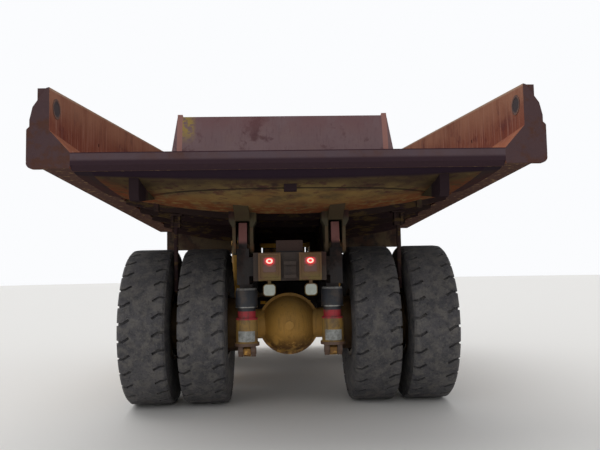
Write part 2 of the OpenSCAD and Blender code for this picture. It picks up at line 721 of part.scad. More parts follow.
// Transmission block with the shafts before and behind it
module driveline() on_truck() {
  color(yellow) {
    block([-290, 1950, 960], [290, 2950, 1560]);
    both_sides() block([289, 2300, 1400], [rail_x - rail_w / 2 - seat, 2420, 1500]);
  }
  color(steel) {
    bar([0, 440, axle_z], [0, 1951, 1180], 130);
    translate([0, 420 + seat, axle_z]) rotate([-90, 0, 0]) cylinder(h = 130, d = 220, $fn = 48);
    translate([0, 1820, 1172]) rotate([-90, 0, 0]) cylinder(h = 131, d = 220, $fn = 48);
    bar([0, 2949, 1300], [0, engine_y - seat, 1300], 120);
    translate([0, engine_y - 110, 1300]) rotate([-90, 0, 0])
      cylinder(h = 110 - seat, d = 220, $fn = 48);
  }
}

// Radiator core with its tanks, and the shroud towards the engine
module radiator() on_truck() color(dark) difference() {
  union() {
    block([-rail_x + rail_w / 2 + seat, rad_y, 1360], [rail_x - rail_w / 2 - seat, rad_y + 140, 2640]);
    block([-480, rad_y + 20, 2639], [480, rad_y + 120, 2720]);
    translate([0, rad_y - 120, 1950]) rotate([-90, 0, 0]) cylinder(h = 121, d = 960, $fn = 96);
  }
  translate([0, rad_y - 130, 1950]) rotate([-90, 0, 0]) cylinder(h = 125, d = 920, $fn = 96);
}

// Grille: an outer frame and upright bars
module grille() on_truck() color(dark) translate([0, grille_y, 0]) {
  difference() {
    block([-grille_half, 0, grille_low], [grille_half, 70, grille_top]);
    block([-grille_half + 50, -1, grille_low + 50], [grille_half - 50, 71, grille_top - 50]);
  }
  gap = (2 * grille_half - 100) / (grille_bars + 1);
  for (i = [1 : grille_bars])
    block([-grille_half + 50 + i * gap - 9, 10, grille_low + 49],
      [-grille_half + 50 + i * gap + 9, 60, grille_top - 49]);
  block([-grille_half + 49, 20, (grille_low + grille_top) / 2 - 15],
    [grille_half - 49, 50, (grille_low + grille_top) / 2 + 15]);
}

// Bonnet over the engine, open below and in front
module hood() on_truck() color(yellow) difference() {
  side_plate(0, hood_w) polygon([
    [hood_back, hood_low], [hood_back, hood_top - 90], [hood_back + 130, hood_top],
    [hood_nose - 420, hood_top], [hood_nose, hood_top - 230], [hood_nose, hood_low]]);
  side_plate(0, hood_w - 24) polygon([
    [hood_back + 12, hood_low - 1], [hood_back + 12, hood_top - 97], [hood_back + 136, hood_top - 12],
    [hood_nose - 424, hood_top - 12], [hood_nose - 40, hood_top - 222],
    [hood_nose + 1, hood_top - 262], [hood_nose + 1, hood_low - 1]]);
  // Louvres in the sides
  for (i = [0 : 5]) block([-hood_w, hood_back + 300 + i * 230, hood_top - 260],
    [hood_w, hood_back + 440 + i * 230, hood_top - 120]);
}

// Deck on both sides of the bonnet, with aprons behind, outside and in front
module deck() on_truck() color(ochre) {
  inside = hood_w / 2 + seat;
  both_sides() {
    block([inside, deck_y, deck_z - deck_t], [deck_half, deck_nose, deck_z]);
    block([inside, deck_y, deck_z - 380], [deck_half, deck_y + 25, deck_z - deck_t + 1]);
    block([deck_half - 25, deck_y + 24, deck_z - 240], [deck_half, deck_nose - 24, deck_z - deck_t + 1]);
    block([inside, deck_nose - 25, deck_z - 380], [deck_half, deck_nose, deck_z - deck_t + 1]);
    // Posts on the rails
    block([rail_x - 60, hood_back - 95, rail_front_top + seat],
      [rail_x + 60, hood_back - 15, deck_z - deck_t + 1]);
    block([rail_x - 60, hood_nose + seat, rail_front_top + seat],
      [rail_x + 60, deck_nose, deck_z - 379]);
  }
  block([-inside - 1, deck_y, deck_z - 180], [inside + 1, hood_back - 15, deck_z]);
}

// One run of handrail: posts at the listed points and two rails between them
module rail_run(points) {
  for (p = points) translate([p[0], p[1], deck_z + seat]) cylinder(h = rail_up, d = 42, $fn = 24);
  for (i = [0 : len(points) - 2], z = [rail_up / 2, rail_up])
    bar([points[i][0], points[i][1], deck_z + z], [points[i + 1][0], points[i + 1][1], deck_z + z], 38);
}

// Handrails round the deck, open beside the cab's door and over the ladders
module handrails() on_truck() color(yellow) {
  edge = deck_half - 45;
  front = deck_nose - 45;
  both_sides() {
    rail_run([[hood_w / 2 + 60, front], [ladder_x - 260, front]]);
    rail_run([[ladder_x + 260, front], [edge, front]]);
  }
  rail_run([[edge, front], [edge, (front + deck_y + 200) / 2], [edge, deck_y + 200], [1300, deck_y + 200]]);
  rail_run([[-edge, front], [-edge, front - 900]]);
  rail_run([[-edge, deck_y + 800], [-edge, deck_y + 200]]);
}

// Ladders from the bumper to the deck, one on each side
module ladders() on_truck() color(yellow) both_sides() {
  foot = [bumper_y + 150, bumper_low + bumper_h + seat];
  head = [deck_nose + seat + 25, deck_z - 30];
  for (x = [ladder_x - 210, ladder_x + 210]) side_plate(x, 20) polygon([
    [foot[0] - 60, foot[1]], [foot[0] + 30, foot[1]], [head[0] + 44, head[1]],
    [head[0] - 25, head[1]]]);
  for (i = [1 : 5]) let (t = i / 5.4, y = foot[0] - 20 + (head[0] - foot[0] + 30) * t,
    z = foot[1] + (head[1] - foot[1]) * t)
    block([ladder_x - 201, y - 15, z - 15], [ladder_x + 201, y + 25, z + 15]);
}

// Two canisters with their caps on the right of the deck
module air_cleaners() on_truck() color(yellow) for (x = [1000, 1560])
  translate([x, deck_nose - 560, deck_z + seat]) {
    cylinder(h = 780, d = 460, $fn = 64);
    translate([0, 0, 779]) cylinder(h = 60, d = 380, $fn = 64);
    translate([0, 0, 838]) cylinder(h = 60, d = 440, $fn = 64);
    translate([0, -250, 500]) rotate([90, 0, 0]) cylinder(h = 120, d = 200, center = true, $fn = 48);
  }

// Silencer lying on the deck, with a tail pipe that turns up
module exhaust() on_truck() color(rust) translate([830, 0, deck_z]) {
  translate([0, hood_back + 100, 260]) rotate([-90, 0, 0]) cylinder(h = 1000, d = 340, $fn = 64);
  for (y = [hood_back + 250, hood_back + 900]) block([-120, y, seat], [120, y + 60, 160]);
  translate([0, hood_back + 60, 260]) rotate([-90, 0, 0]) cylinder(h = 41, d = 180, $fn = 48);
  translate([0, hood_back + 100, 250]) cylinder(h = 760, d = 150, $fn = 48);
}

// Fuel tank on the left, with rounded edges
module fuel_tank() on_truck() color(yellow) {
  r = 120;
  translate([-tank_x - 1050, 0, 0]) side_plate(525, 1050) {
    for (y = [tank_y + r, tank_y + 1330 - r], z = [tank_z + r, tank_z + 860 - r])
      translate([y, z]) circle(r = r, $fn = 48);
    translate([tank_y + r, tank_z]) square([1330 - 2 * r, 860]);
    translate([tank_y, tank_z + r]) square([1330, 860 - 2 * r]);
  }
  translate([-tank_x - 850, tank_y + 300, tank_z + 859]) cylinder(h = 60, d = 160, $fn = 48);
}

// Hydraulic tank on the right
module hydraulic_tank() on_truck() color(yellow) {
  block([tank_x, tank_y + 260, tank_z + 60], [tank_x + 820, tank_y + 1330, tank_z + 860]);
  translate([tank_x + 300, tank_y + 500, tank_z + 859]) cylinder(h = 50, d = 180, $fn = 48);
  translate([tank_x + 600, tank_y + 900, tank_z + 859]) cylinder(h = 90, d = 120, $fn = 48);
}

// Battery box behind the bumper
module battery_box() on_truck() color(yellow) {
  block([-1300, bumper_y - 380, bumper_low + bumper_h - 200],
    [-720, bumper_y - seat, bumper_low + bumper_h + 160]);
  block([-1300, bumper_y - 381, bumper_low + bumper_h + 159],
    [-720, bumper_y - seat, bumper_low + bumper_h + 185]);
}

// Outline of the cab in Y and Z, drawn in by a margin
module cab_outline(m) polygon([
  [cab_back + m, deck_z + seat + m], [cab_front - m, deck_z + seat + m], [cab_front - m, sill_z + 120],
  [cab_front - visor_slant - m, deck_z + cab_h - m], [cab_back + m, deck_z + cab_h - m]]);

// Y of the windscreen's outer face at a height
function screen_y(z) =
  cab_front - visor_slant * (z - sill_z - 120) / (deck_z + cab_h - sill_z - 120);

// Cab shell with its windows and the door's opening cut, and the brackets of the door's hinges
module cab() on_truck() color(yellow) {
  difference() {
    side_plate(cab_x, cab_w) cab_outline(0);
    side_plate(cab_x, cab_w - 2 * cab_wall) cab_outline(cab_wall);
    // Windscreen, rear window, right window and the small pane ahead of the door
    block([cab_left + 130, cab_front - 400, sill_z + 130], [cab_right - 130, cab_front + 20, top_z]);
    block([cab_left + 200, cab_back - 10, sill_z + 60],
      [cab_right - 200, cab_back + cab_wall + 10, top_z]);
    block([cab_right - cab_wall - 10, cab_back + 220, sill_z],
      [cab_right + 10, cab_front - 320, top_z]);
    block([cab_left - 10, door_front + 110, sill_z],
      [cab_left + cab_wall + 10, cab_front - 320, top_z]);
    block([cab_left - 10, door_back, deck_z + 70], [cab_left + cab_wall + 10, door_front, top_z + 20]);
  }
  // Roof with an overhang all round
  block([cab_left - 30, cab_back - 40, deck_z + cab_h - 0.5],
    [cab_right + 30, cab_front - visor_slant + 160, deck_z + cab_h + 45]);
  // Hinge pins of the door, each between two ears
  for (z = door_hinges) {
    translate([door_axis_x, door_axis_y, z - 70]) cylinder(h = 140, d = 14, $fn = 32);
    for (s = [-1, 1]) translate([0, 0, z + s * 62])
      block([door_axis_x - 16, door_axis_y - 14, -10], [cab_left + 1, door_axis_y + 16, 10]);
  }
}

// Panes of the cab, set in the middle of its walls
module cab_glass() on_truck() color("#9fc4d8") {
  low = sill_z + 130 + seat;
  high = top_z - seat;
  side_plate(cab_x, cab_w - 260 - 2 * seat) polygon([
    [screen_y(low) - 22, low], [screen_y(high) - 22, high],
    [screen_y(high) - 32, high], [screen_y(low) - 32, low]]);
  block([cab_left + 200 + seat, cab_back + 22, sill_z + 60 + seat],
    [cab_right - 200 - seat, cab_back + 32, high]);
  block([cab_right - 32, cab_back + 220 + seat, sill_z + seat],
    [cab_right - 22, cab_front - 320 - seat, high]);
  block([cab_left + 22, door_front + 110 + seat, sill_z + seat],
    [cab_left + 32, cab_front - 320 - seat, high]);
}

// Door of the cab, with its window cut and two hinge knuckles
module cab_door() on_truck() color(yellow) difference() {
  union() {
    difference() {
      block([cab_left, door_back + door_gap, deck_z + 70 + door_gap],
        [cab_left + cab_wall, door_front - door_gap, top_z + 20 - door_gap]);
      block([cab_left - 1, door_back + 110, sill_z + 30],
        [cab_left + cab_wall + 1, door_front - 110, top_z - 70]);
    }
    for (z = door_hinges) {
      translate([door_axis_x, door_axis_y, z - 45]) cylinder(h = 90, d = 28, $fn = 32);
      translate([0, 0, z]) block([door_axis_x - 14, door_front - door_gap - 30, -45],
        [cab_left - 3, door_axis_y, 45]);
      translate([0, 0, z]) block([cab_left - 4, door_front - door_gap - 30, -45],
        [cab_left + 1, door_front - door_gap, 45]);
    }
    // Pull handle
    block([cab_left - 45, door_back + 60, sill_z - 60], [cab_left - 30, door_back + 85, sill_z + 140]);
    for (z = [sill_z - 60, sill_z + 115])
      block([cab_left - 45, door_back + 60, z], [cab_left + 1, door_back + 85, z + 25]);
  }
  for (z = door_hinges) translate([door_axis_x, door_axis_y, z - 60]) cylinder(h = 120, d = 16, $fn = 32);
}

module door_glass() on_truck() color("#9fc4d8")
  block([cab_left + 22, door_back + 110 + seat, sill_z + 30 + seat],
    [cab_left + 32, door_front - 110 - seat, top_z - 70 - seat]);

// Operator's seat on its pedestal
module cab_seat() on_truck() color(dark) {
  x = cab_x - 60;
  y = cab_back + 420;
  z = deck_z + cab_wall + 2 * seat;
  translate([x, y + 250, z]) cylinder(h = 330, d = 220, $fn = 48);
  block([x - 250, y, z + 329], [x + 250, y + 500, z + 450]);
  side_plate(x, 480) polygon([
    [y, z + 440], [y + 110, z + 440], [y - 20, z + 1130], [y - 110, z + 1130]]);
  for (s = [-1, 1]) translate([x + s * 290, 0, 0])
    block([-35, y + 40, z + 560], [35, y + 400, z + 610]);
  for (s = [-1, 1]) translate([x + s * 262, 0, 0])
    block([-20, y + 60, z + 380], [20, y + 120, z + 561]);
  // Steering column and wheel
  translate([x, cab_front - 260, z]) cylinder(h = 40, d = 130, $fn = 48);
  bar([x, cab_front - 264, z + 14], [x, y + 810, z + 700], 70);
  translate([x, y + 800, z + 720]) rotate([-28, 0, 0]) {
    translate([0, 0, -40]) cylinder(h = 70, d = 90, $fn = 32);
    rotate_extrude($fn = 64) translate([210, 0]) circle(d = 32, $fn = 32);
    for (a = [90, 210, 330]) rotate([0, 0, a]) bar_x(20, 185, 24);
  }
}

// Mirrors on posts at the front corners of the deck
module mirrors() on_truck() both_sides() color(dark) {
  x = deck_half - 110;
  y = deck_nose - 100;
  translate([x, y, deck_z + seat]) cylinder(h = rail_up + 90, d = 40, $fn = 24);
  bar([x, y, deck_z + rail_up + 75], [x + 250, y, deck_z + rail_up + 75], 34);
  block([x + 150, y - 35, deck_z + rail_up - 330], [x + 350, y + 35, deck_z + rail_up + 90]);
}

// Moves a hoist's piece, drawn upward from its lower pin, to where it stands
module on_hoist(side) to_side(side) on_truck() translate([hoist_x, hoist_foot_y, hoist_foot_z])
  rotate([-hoist_lean, 0, 0]) children();

// Barrel of a hoist, with its eye on the frame's pin
module hoist_barrel(side) on_hoist(side) color(yellow) difference() {
  union() {
    bar_x(-60, 120, 180);
    translate([-55, -70, 60]) cube([110, 140, 50]);
    translate([0, 0, 105]) cylinder(h = hoist_barrel_l - 105, d = hoist_d, $fn = 64);
    translate([0, 0, hoist_barrel_l - 60]) cylinder(h = 60, d = hoist_d + 24, $fn = 64);
  }
  bar_x(-70, 140, hoist_pin_d + 2 * pin_gap);
  translate([0, 0, 130]) cylinder(h = hoist_barrel_l, d = hoist_d - 46, $fn = 64);
}

// First stage of a hoist
module hoist_tube(side) on_hoist(side) color(steel) difference() {
  translate([0, 0, 140]) cylinder(h = hoist_barrel_l - 150, d = hoist_d - 46 - 2 * pin_gap, $fn = 64);
  translate([0, 0, 165]) cylinder(h = hoist_barrel_l, d = hoist_d - 100 + 2 * pin_gap, $fn = 64);
}

// Second stage of a hoist, with the open eye beside the body's boss
module hoist_rod(side) on_hoist(side) color(steel) difference() {
  union() {
    translate([0, 0, 175]) cylinder(h = hoist_l - 235, d = hoist_d - 100, $fn = 64);
    translate([0, 0, hoist_l]) bar_x(-55, 110, 160);
  }
  translate([0, 0, hoist_l]) bar_x(-60, 120, hoist_pin_d);
}

// Space between the side walls, as one tall prism
module between_walls() {
  run = (bed_tail_half - bed_front_half);
  translate([0, 0, 1500]) linear_extrude(4000) polygon([
    [-lip_half + seat, -tail_reach], [lip_half - seat, -tail_reach],
    [lip_half - seat - run, head_foot_y], [seat + run - lip_half, head_foot_y]]);
}

// Puts what is drawn flat on the right half of the floor, from its centre line at the tail
module on_floor() translate([0, -tail_reach, lip_z - floor_dip]) rotate([-floor_slope, -floor_roll, 0])
  children();

// Everything above the underside of the floor
module over_floor() both_sides() on_floor() translate([-3, -400, -bed_plate - seat])
  cube([1.4 * under_half, floor_l + 1000, 1500]);

// Everything ahead of the headboard's rear face
module ahead_of_headboard() translate([0, head_foot_y, floor_front_z]) rotate([-head_lean, 0, 0])
  translate([-1.5 * under_half, -seat, -2000]) cube([3 * under_half, 3000, 6000]);

// Floor in two halves that fall to the middle, and the straight lip at the tail
module bed_floor() on_truck() color(rust) intersection() {
  union() {
    both_sides() on_floor() translate([-3, 60, -bed_plate]) cube([1.3 * under_half, floor_l, bed_plate]);
    side_plate(0, 2 * lip_half) polygon([
      [-tail_reach, lip_z], [-tail_reach + 150, lip_z - 7], [-tail_reach + 190, lip_z - 60],
      [-tail_reach + 190, lip_z - lip_h - 50], [-tail_reach + 70, lip_z - lip_h - 50],
      [-tail_reach, lip_z - lip_h]]);
  }
  between_walls();
}

// Bolster across the underside, deepest in the middle, its lower edge a wide arc
module bolster(y, depth) {
  deep = floor_at(0, y) - depth;
  sag = bolster_d - bolster_end_d + floor_dip;
  r = (pow(lip_half, 2) + pow(sag, 2)) / (2 * sag);
  cross_beam(y - bolster_w / 2, bolster_w) intersection() {
    translate([0, deep + r]) circle(r = r, $fn = 720);
    translate([-under_half, deep - 10]) square([2 * under_half, depth + floor_dip + 60]);
  }
}

// Beams under the floor, with the bolsters, the hinge brackets and the bosses of the hoists
module bed_beams() on_truck() color(ochre) difference() {
  intersection() {
    union() {
      for (y = bolsters) bolster(y, bolster_d);
      for (y = tail_bolsters) bolster(y, tail_bolster_d);
      // Prop bracket in the middle, and braces outside it
      block([-68, -tail_reach + 275, floor_at(0, -tail_reach) - 250], [68, -tail_reach + 400, lip_z - 100]);
      both_sides() {
        side_plate(stringer_x, 100) polygon([
          [-tail_reach + 195, lip_z - 100], [-tail_reach + 195, brace_z + 60], [-tail_reach + 230, brace_z],
          [-tail_reach + 330, brace_z], [bolsters[0], floor_at(0, bolsters[0]) - 90],
          [bolsters[0], lip_z - 100]]);
        block([stringer_x - 30, bolsters[0] - bolster_w / 2 - 60, brace_z],
          [stringer_x + 30, bolsters[0] - bolster_w / 2 + 20, brace_z + 160]);
      }
      both_sides() {
        side_plate(rail_x, beam_w) polygon([
          [beam_back, rail_top + seat], [head_foot_y - 60, rail_top + seat],
          [head_foot_y - 60, floor_front_z], [-tail_reach + 460, lip_z], [-tail_reach + 460, lip_z - 200],
          [-hinge_back - 150, hinge_z + ear_r + 14], [beam_back - 60, hinge_z + ear_r + 14],
          [beam_back, hinge_z + 200]]);
        // Hinge bracket of two plates and a pin, below a wide top plate
        for (s = [-1, 1]) side_plate(rail_x + s * bracket_x, 40) {
          translate([-hinge_back, hinge_z]) circle(r = 95, $fn = 64);
          polygon([[-hinge_back - 95, hinge_z], [-hinge_back + 95, hinge_z],
            [beam_back + 60, hinge_z + 260], [beam_back + 60, floor_at(0, -hinge_back) - 200],
            [-hinge_back - 150, floor_at(0, -hinge_back) - 200]]);
        }
        difference() {
          translate([rail_x, 0, hinge_z]) cross_beam(-hinge_back - 150, 300) polygon([
            [-168, 440], [168, 440], [168, ear_r + 14], [127, 240], [-127, 240], [-168, ear_r + 14]]);
          block([rail_x - bracket_x + 20, -hinge_back - 151, hinge_z + 200],
            [rail_x + bracket_x - 20, -hinge_back + 151, hinge_z + ear_r + 14]);
        }
        translate([0, -hinge_back, hinge_z])
          bar_x(rail_x - bracket_x - 30, 2 * bracket_x + 60, hinge_pin_d);
        // Boss that a hoist pushes on
        translate([0, hoist_head_y, hoist_head_z])
          bar_x(rail_x + 20, hoist_x - 78 - rail_x - 20, 170);
      }
    }
    between_walls();
  }
  over_floor();
}

// One side of the body: wall sheet, top rail, ribs, lower corner box and the post at the tail
module bed_side() {
  wall_l = head_foot_y + tail_reach + 500;
  rise = (wall_front_z - wing_z) / (head_foot_y + tail_reach + 250);
  foot = lip_z + corner_up;
  drop = tan(floor_slope);
  difference() {
    translate([bed_tail_half, -tail_reach, 0]) rotate([0, 0, bed_taper]) {
      // Sheet
      difference() {
        side_plate(bed_plate / 2, bed_plate) polygon([
          [-12, foot - 40], [wall_l, foot - 40 - wall_l * drop], [wall_l, wing_z + wall_l * rise],
          [-12, wing_z]]);
        translate([0, eye_y, eye_z]) bar_x(-10, 60, eye_d);
        block([-10, 1540, wing_z - 285], [50, 1660, wing_z - 245]);
      }
      // Top rail
      side_plate(rail_d / 2, rail_d) polygon([
        [30, wing_z - 120], [wall_l, wing_z - 120 + wall_l * rise],
        [wall_l, wing_z + wall_l * rise], [30, wing_z]]);
      // Ribs
      for (i = [1 : ribs]) let (y = i * (head_foot_y + tail_reach) / (ribs + 0.55))
        block([1, y - 70, foot - 60 - y * drop], [rib_d - 30, y + 70, wing_z - 60 + y * rise]);
      // Corner box between the wall and the floor
      translate([0, 0, lip_z]) rotate([-floor_slope, 0, 0]) translate([0, wall_l, 0])
        rotate([90, 0, 0]) linear_extrude(wall_l + 60) polygon([
          [lip_half - bed_tail_half, -150], [lip_half - bed_tail_half, 0], [0, corner_up],
          [rib_d - 20, corner_up], [rib_d - 10, -60], [rib_d - 60, -150]]);
      // Post at the tail
      cross_beam(-10, 70) {
        polygon([
          [lip_half - bed_tail_half + 6, lip_z - 160], [lip_half - bed_tail_half + 6, lip_z - 9],
          [6, lip_z + corner_up - 9], [6, wing_z - 4], [30, wing_z - 4],
          [post_d - 60, wing_z - 200], [post_d - 30, wing_z - 330],
          [post_d - 30, wing_z - 400], [post_d, wing_z - 430], [post_d, lip_z - 80],
          [post_d - 60, lip_z - 160]]);
        translate([post_d - 60, lip_z - 100]) circle(r = 60, $fn = 48);
      }
    }
    ahead_of_headboard();
    block([-500, -tail_reach - 400, 0], [3200, -tail_reach, 6000]);
  }
}

module bed_sides() on_truck() color(rust) both_sides() bed_side();

// Distance up the headboard's slope at a height
function up_slope(z) = (z - floor_front_z) / cos(head_lean);

// Puts what is drawn upright at its foot on the headboard's slope
module on_headboard() translate([0, head_foot_y, floor_front_z]) rotate([-head_lean, 0, 0]) children();

// Headboard with its ribs and ears
module bed_headboard() on_truck() color(ochre) {
  up = up_slope(head_z);
  shoulder = up_slope(wall_front_z);
  on_headboard() {
    cross_beam(0, bed_plate) polygon([
      [-head_low_half, 10], [head_low_half, 10], [head_low_half, shoulder - 40],
      [head_half + 107, shoulder], [head_half, up], [-head_half, up],
      [-head_half - 107, shoulder], [-head_low_half, shoulder - 40]]);
    // Ribs across and upright on the front face
    for (i = [0 : 4]) block([-head_half + 10, bed_plate - 1, 130 + i * up / 5.2],
      [head_half - 10, bed_plate + 110, 230 + i * up / 5.2]);
    for (x = [-1, 1])
      block([x * rail_x - 60, bed_plate - 1, 10], [x * rail_x + 60, bed_plate + 130, up - 150]);
    // Ears at the ends
    both_sides() block([head_half - ear_in, 0, up - 300], [head_half, ear_t, up + 50]);
  }
  // Foot of the headboard
  block([-lip_half + bed_tail_half - bed_front_half + 10, head_foot_y + seat, floor_front_z - 170],
    [lip_half - bed_tail_half + bed_front_half - 10, head_foot_y + 120, floor_front_z + 30]);
}

// Canopy over the cab, with ribs below and gussets that stand against the headboard
module bed_canopy() on_truck() color(ochre) difference() {
  union() {
    block([-head_half, head_y, head_z - 20], [head_half, head_y + canopy_reach, head_z - 2]);
    for (i = [0 : 4]) let (y = head_y + 120 + i * (canopy_reach - 180) / 4)
      block([-head_half, y, head_z - 110], [head_half, y + 60, head_z - 19]);
    both_sides() {
      block([head_half - 20, head_y - 20, head_z - 140], [head_half, head_y + canopy_reach, head_z - 19]);
      for (x = [rail_x + 130, 1400]) side_plate(x, 30) polygon([
        [head_y - 60, head_z - 19], [head_y + 900, head_z - 19], [head_y + 900, head_z - 110],
        [head_y - 60, head_z - 270]]);
    }
  }
  on_headboard() {
    block([-head_half - 1, -500, up_slope(head_z) - 700],
      [head_half + 1, bed_plate + seat, up_slope(head_z) + 200]);
    both_sides() block([head_half - ear_in - seat, 0, up_slope(head_z) - 301],
      [head_half + 1, ear_t + seat, up_slope(head_z) + 200]);
  }
}

// Bars that hang between the twin tyres, each from a bracket below the body
module rock_ejectors() on_truck() color(rust) both_sides() translate([rear_track / 2, ejector_y, 0]) {
  top = bolster_foot(rear_track / 2 - 90, ejector_y) - seat;
  block([-90, -70, top - 20], [90, 70, top]);
  for (x = [-60, 30]) block([x, -50, top - 190], [x + 30, 50, top - 19]);
  translate([0, 0, top - 130]) bar_x(-75, 150, 40);
  block([-30, -35, top - 190], [30, 35, top - 100]);
  translate([0, 0, ejector_low]) cylinder(h = top - 130 - ejector_low, d = 56, $fn = 32);
}

module knuckle_left() knuckle(-1);
module knuckle_right() knuckle(1);
module steer_barrel_left() steer_barrel(-1);
module steer_barrel_right() steer_barrel(1);
module steer_rod_left() steer_rod(-1);
module steer_rod_right() steer_rod(1);
module front_wheel_left() front_wheel(-1);
module front_wheel_right() front_wheel(1);
module front_tyre_left() front_tyre(-1);
module front_tyre_right() front_tyre(1);
module rear_wheel_left() rear_wheel(-1);
module rear_wheel_right() rear_wheel(1);
module rear_tyre_left() rear_tyres(-1);
module rear_tyre_right() rear_tyres(1);
module hoist_barrel_left() hoist_barrel(-1);
module hoist_barrel_right() hoist_barrel(1);
module hoist_tube_left() hoist_tube(-1);
module hoist_tube_right() hoist_tube(1);
module hoist_rod_left() hoist_rod(-1);
module hoist_rod_right() hoist_rod(1);

frame();
bumper();
lamp_panel();
tail_lamps();
white_lamps();
rear_axle();
axle_links();
rear_struts();
front_struts();
engine();
driveline();
radiator();
grille();
hood();
deck();
handrails();
ladders();
cab();
cab_glass();
cab_seat();
mirrors();
air_cleaners();
exhaust();
fuel_tank();
hydraulic_tank();
battery_box();
cab_door();
door_glass();
knuckle_left();
knuckle_right();
tie_rod();
steer_barrel_left();
steer_barrel_right();
steer_rod_left();
steer_rod_right();
front_wheel_left();
front_wheel_right();
front_tyre_left();
front_tyre_right();
rear_wheel_left();
rear_wheel_right();
rear_tyre_left();
rear_tyre_right();
hoist_barrel_left();
hoist_barrel_right();
hoist_tube_left();
hoist_tube_right();
hoist_rod_left();
hoist_rod_right();
bed_floor();
bed_sides();
bed_headboard();
bed_canopy();
bed_beams();
rock_ejectors();
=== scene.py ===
# %% [markdown]
# # A rigid mining dump truck, seen from behind
# The solids of the truck come ready made from its CAD model. This script dresses them: it gives
# each one the paint, rust, rubber or glass of an old machine, and it adds the small things that
# a CAD model leaves out, such as bolts, window seals and mirror glass.

# %% Load the truck
import math

import bmesh
import bpy
from mathutils import Matrix, Vector


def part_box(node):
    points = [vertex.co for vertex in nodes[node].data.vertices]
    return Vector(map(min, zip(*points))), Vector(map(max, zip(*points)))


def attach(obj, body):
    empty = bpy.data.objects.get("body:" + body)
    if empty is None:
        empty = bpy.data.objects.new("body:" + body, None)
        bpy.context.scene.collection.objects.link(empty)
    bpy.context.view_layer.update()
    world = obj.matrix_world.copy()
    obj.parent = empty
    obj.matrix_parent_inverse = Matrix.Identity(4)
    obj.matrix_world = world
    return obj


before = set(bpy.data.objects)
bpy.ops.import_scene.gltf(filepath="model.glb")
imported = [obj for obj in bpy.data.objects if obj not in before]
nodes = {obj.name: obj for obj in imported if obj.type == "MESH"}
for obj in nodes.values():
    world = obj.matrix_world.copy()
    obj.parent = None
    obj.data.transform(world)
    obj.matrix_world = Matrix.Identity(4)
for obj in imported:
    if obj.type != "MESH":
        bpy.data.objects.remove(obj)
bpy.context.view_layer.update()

scene = bpy.context.scene

# %% [markdown]
# ## The camera
# The photographer stood about eight metres behind the rear tyres, a little left of the truck's
# middle, and held the camera at eye height, turned slightly up. The place and the three angles
# were fitted to the tail lip, the tyres and the lamps. The camera's axes are built from the
# angles, because a camera looks along its own minus Z.

# %% Set the camera
yaw, pitch, roll = 0.0363, 0.0737, -0.0186
eye_point = (-0.1467, -10.978, 1.8023)
focal_length_px, picture_width_px, sensor_mm = 633.44, 600, 36
heading = Vector((math.sin(yaw), math.cos(yaw), 0))
forward = heading * math.cos(pitch) + Vector((0, 0, math.sin(pitch)))
level = Vector((math.cos(yaw), -math.sin(yaw), 0))
upward = level.cross(forward)
right = level * math.cos(roll) + upward * math.sin(roll)
top = upward * math.cos(roll) - level * math.sin(roll)
camera = bpy.data.objects.new("camera", bpy.data.cameras.new("camera"))
camera.data.sensor_width = sensor_mm
camera.data.lens = sensor_mm * focal_length_px / picture_width_px
camera.data.clip_end = 300
turn = Matrix((right, top, -forward)).transposed().to_4x4()
camera.matrix_world = Matrix.Translation(eye_point) @ turn
scene.collection.objects.link(camera)
scene.camera = camera
print("lens", round(camera.data.lens, 2), "mm")

# %% [markdown]
# ## Nodes, colours and the start of a material
# Every material is a small tree of shader nodes. One function adds a node, sets its properties
# and links its inputs, so that a material reads from top to bottom like a recipe. A colour is
# written as the hex value it has on a screen, and the same function turns it into the linear
# value that the renderer works in.

# %% Add a node, and start a material
def linear(hex_colour):
    parts = [int(hex_colour[i:i + 2], 16) / 255 for i in (0, 2, 4)]
    return tuple(p / 12.92 if p <= 0.04045 else ((p + 0.055) / 1.055) ** 2.4 for p in parts) + (1,)


def add(tree, kind, inputs=None, **settings):
    node = tree.nodes.new(kind)
    for name, value in settings.items():
        setattr(node, name, value)
    for socket, value in (inputs or {}).items():
        if isinstance(value, bpy.types.NodeSocket):
            tree.links.new(value, node.inputs[socket])
        else:
            node.inputs[socket].default_value = linear(value) if isinstance(value, str) else value
    return node


def start(name, **shader_inputs):
    material = bpy.data.materials.new(name)
    material.use_nodes = True
    shader = material.node_tree.nodes["Principled BSDF"]
    for socket, value in shader_inputs.items():
        value = linear(value) if isinstance(value, str) else value
        shader.inputs[socket.replace("_", " ")].default_value = value
    return material, material.node_tree, shader


print("node helpers ready")

# %% [markdown]
# ## One coat over another
# Old steel is a stack of coats: primer, paint, rust that eats through it, rain marks, dust. A
# noise decides where a coat holds. Its size is the size of the patches in millimetres, low and
# high say how ragged their border is, and drawn_out stretches them downward as rain does. The
# share is how much of what lies below a coat hides.

# %% Lay one coat
def coat(tree, under, colour, size_mm, low, high, share=1.0, drawn_out=1.0, where=None):
    """Lays a colour over what is under it, and gives back the mix and the coat's cover."""
    place = add(tree, "ShaderNodeTexCoord").outputs["Object"]
    per_metre = 1000 / size_mm
    moved = add(tree, "ShaderNodeMapping", {
        "Vector": place, "Scale": (per_metre, per_metre, per_metre / drawn_out)})
    cloud = add(tree, "ShaderNodeTexNoise", {
        "Vector": moved.outputs[0], "Scale": 1.0, "Detail": 7.0, "Roughness": 0.64})
    cover = add(tree, "ShaderNodeMapRange", {
        "Value": cloud.outputs[0], "From Min": low, "From Max": high, "To Max": share},
        interpolation_type="SMOOTHSTEP")
    if where is not None:
        cover = add(tree, "ShaderNodeMath", {0: cover.outputs[0], 1: where}, operation="MULTIPLY")
    mixed = add(tree, "ShaderNodeMix", {0: cover.outputs[0], 6: under, 7: colour},
                data_type="RGBA")
    return mixed.outputs[2], cover.outputs[0]


up, ahead, leftward = (0, 0, 1), (0, 1, 0), (-1, 0, 0)


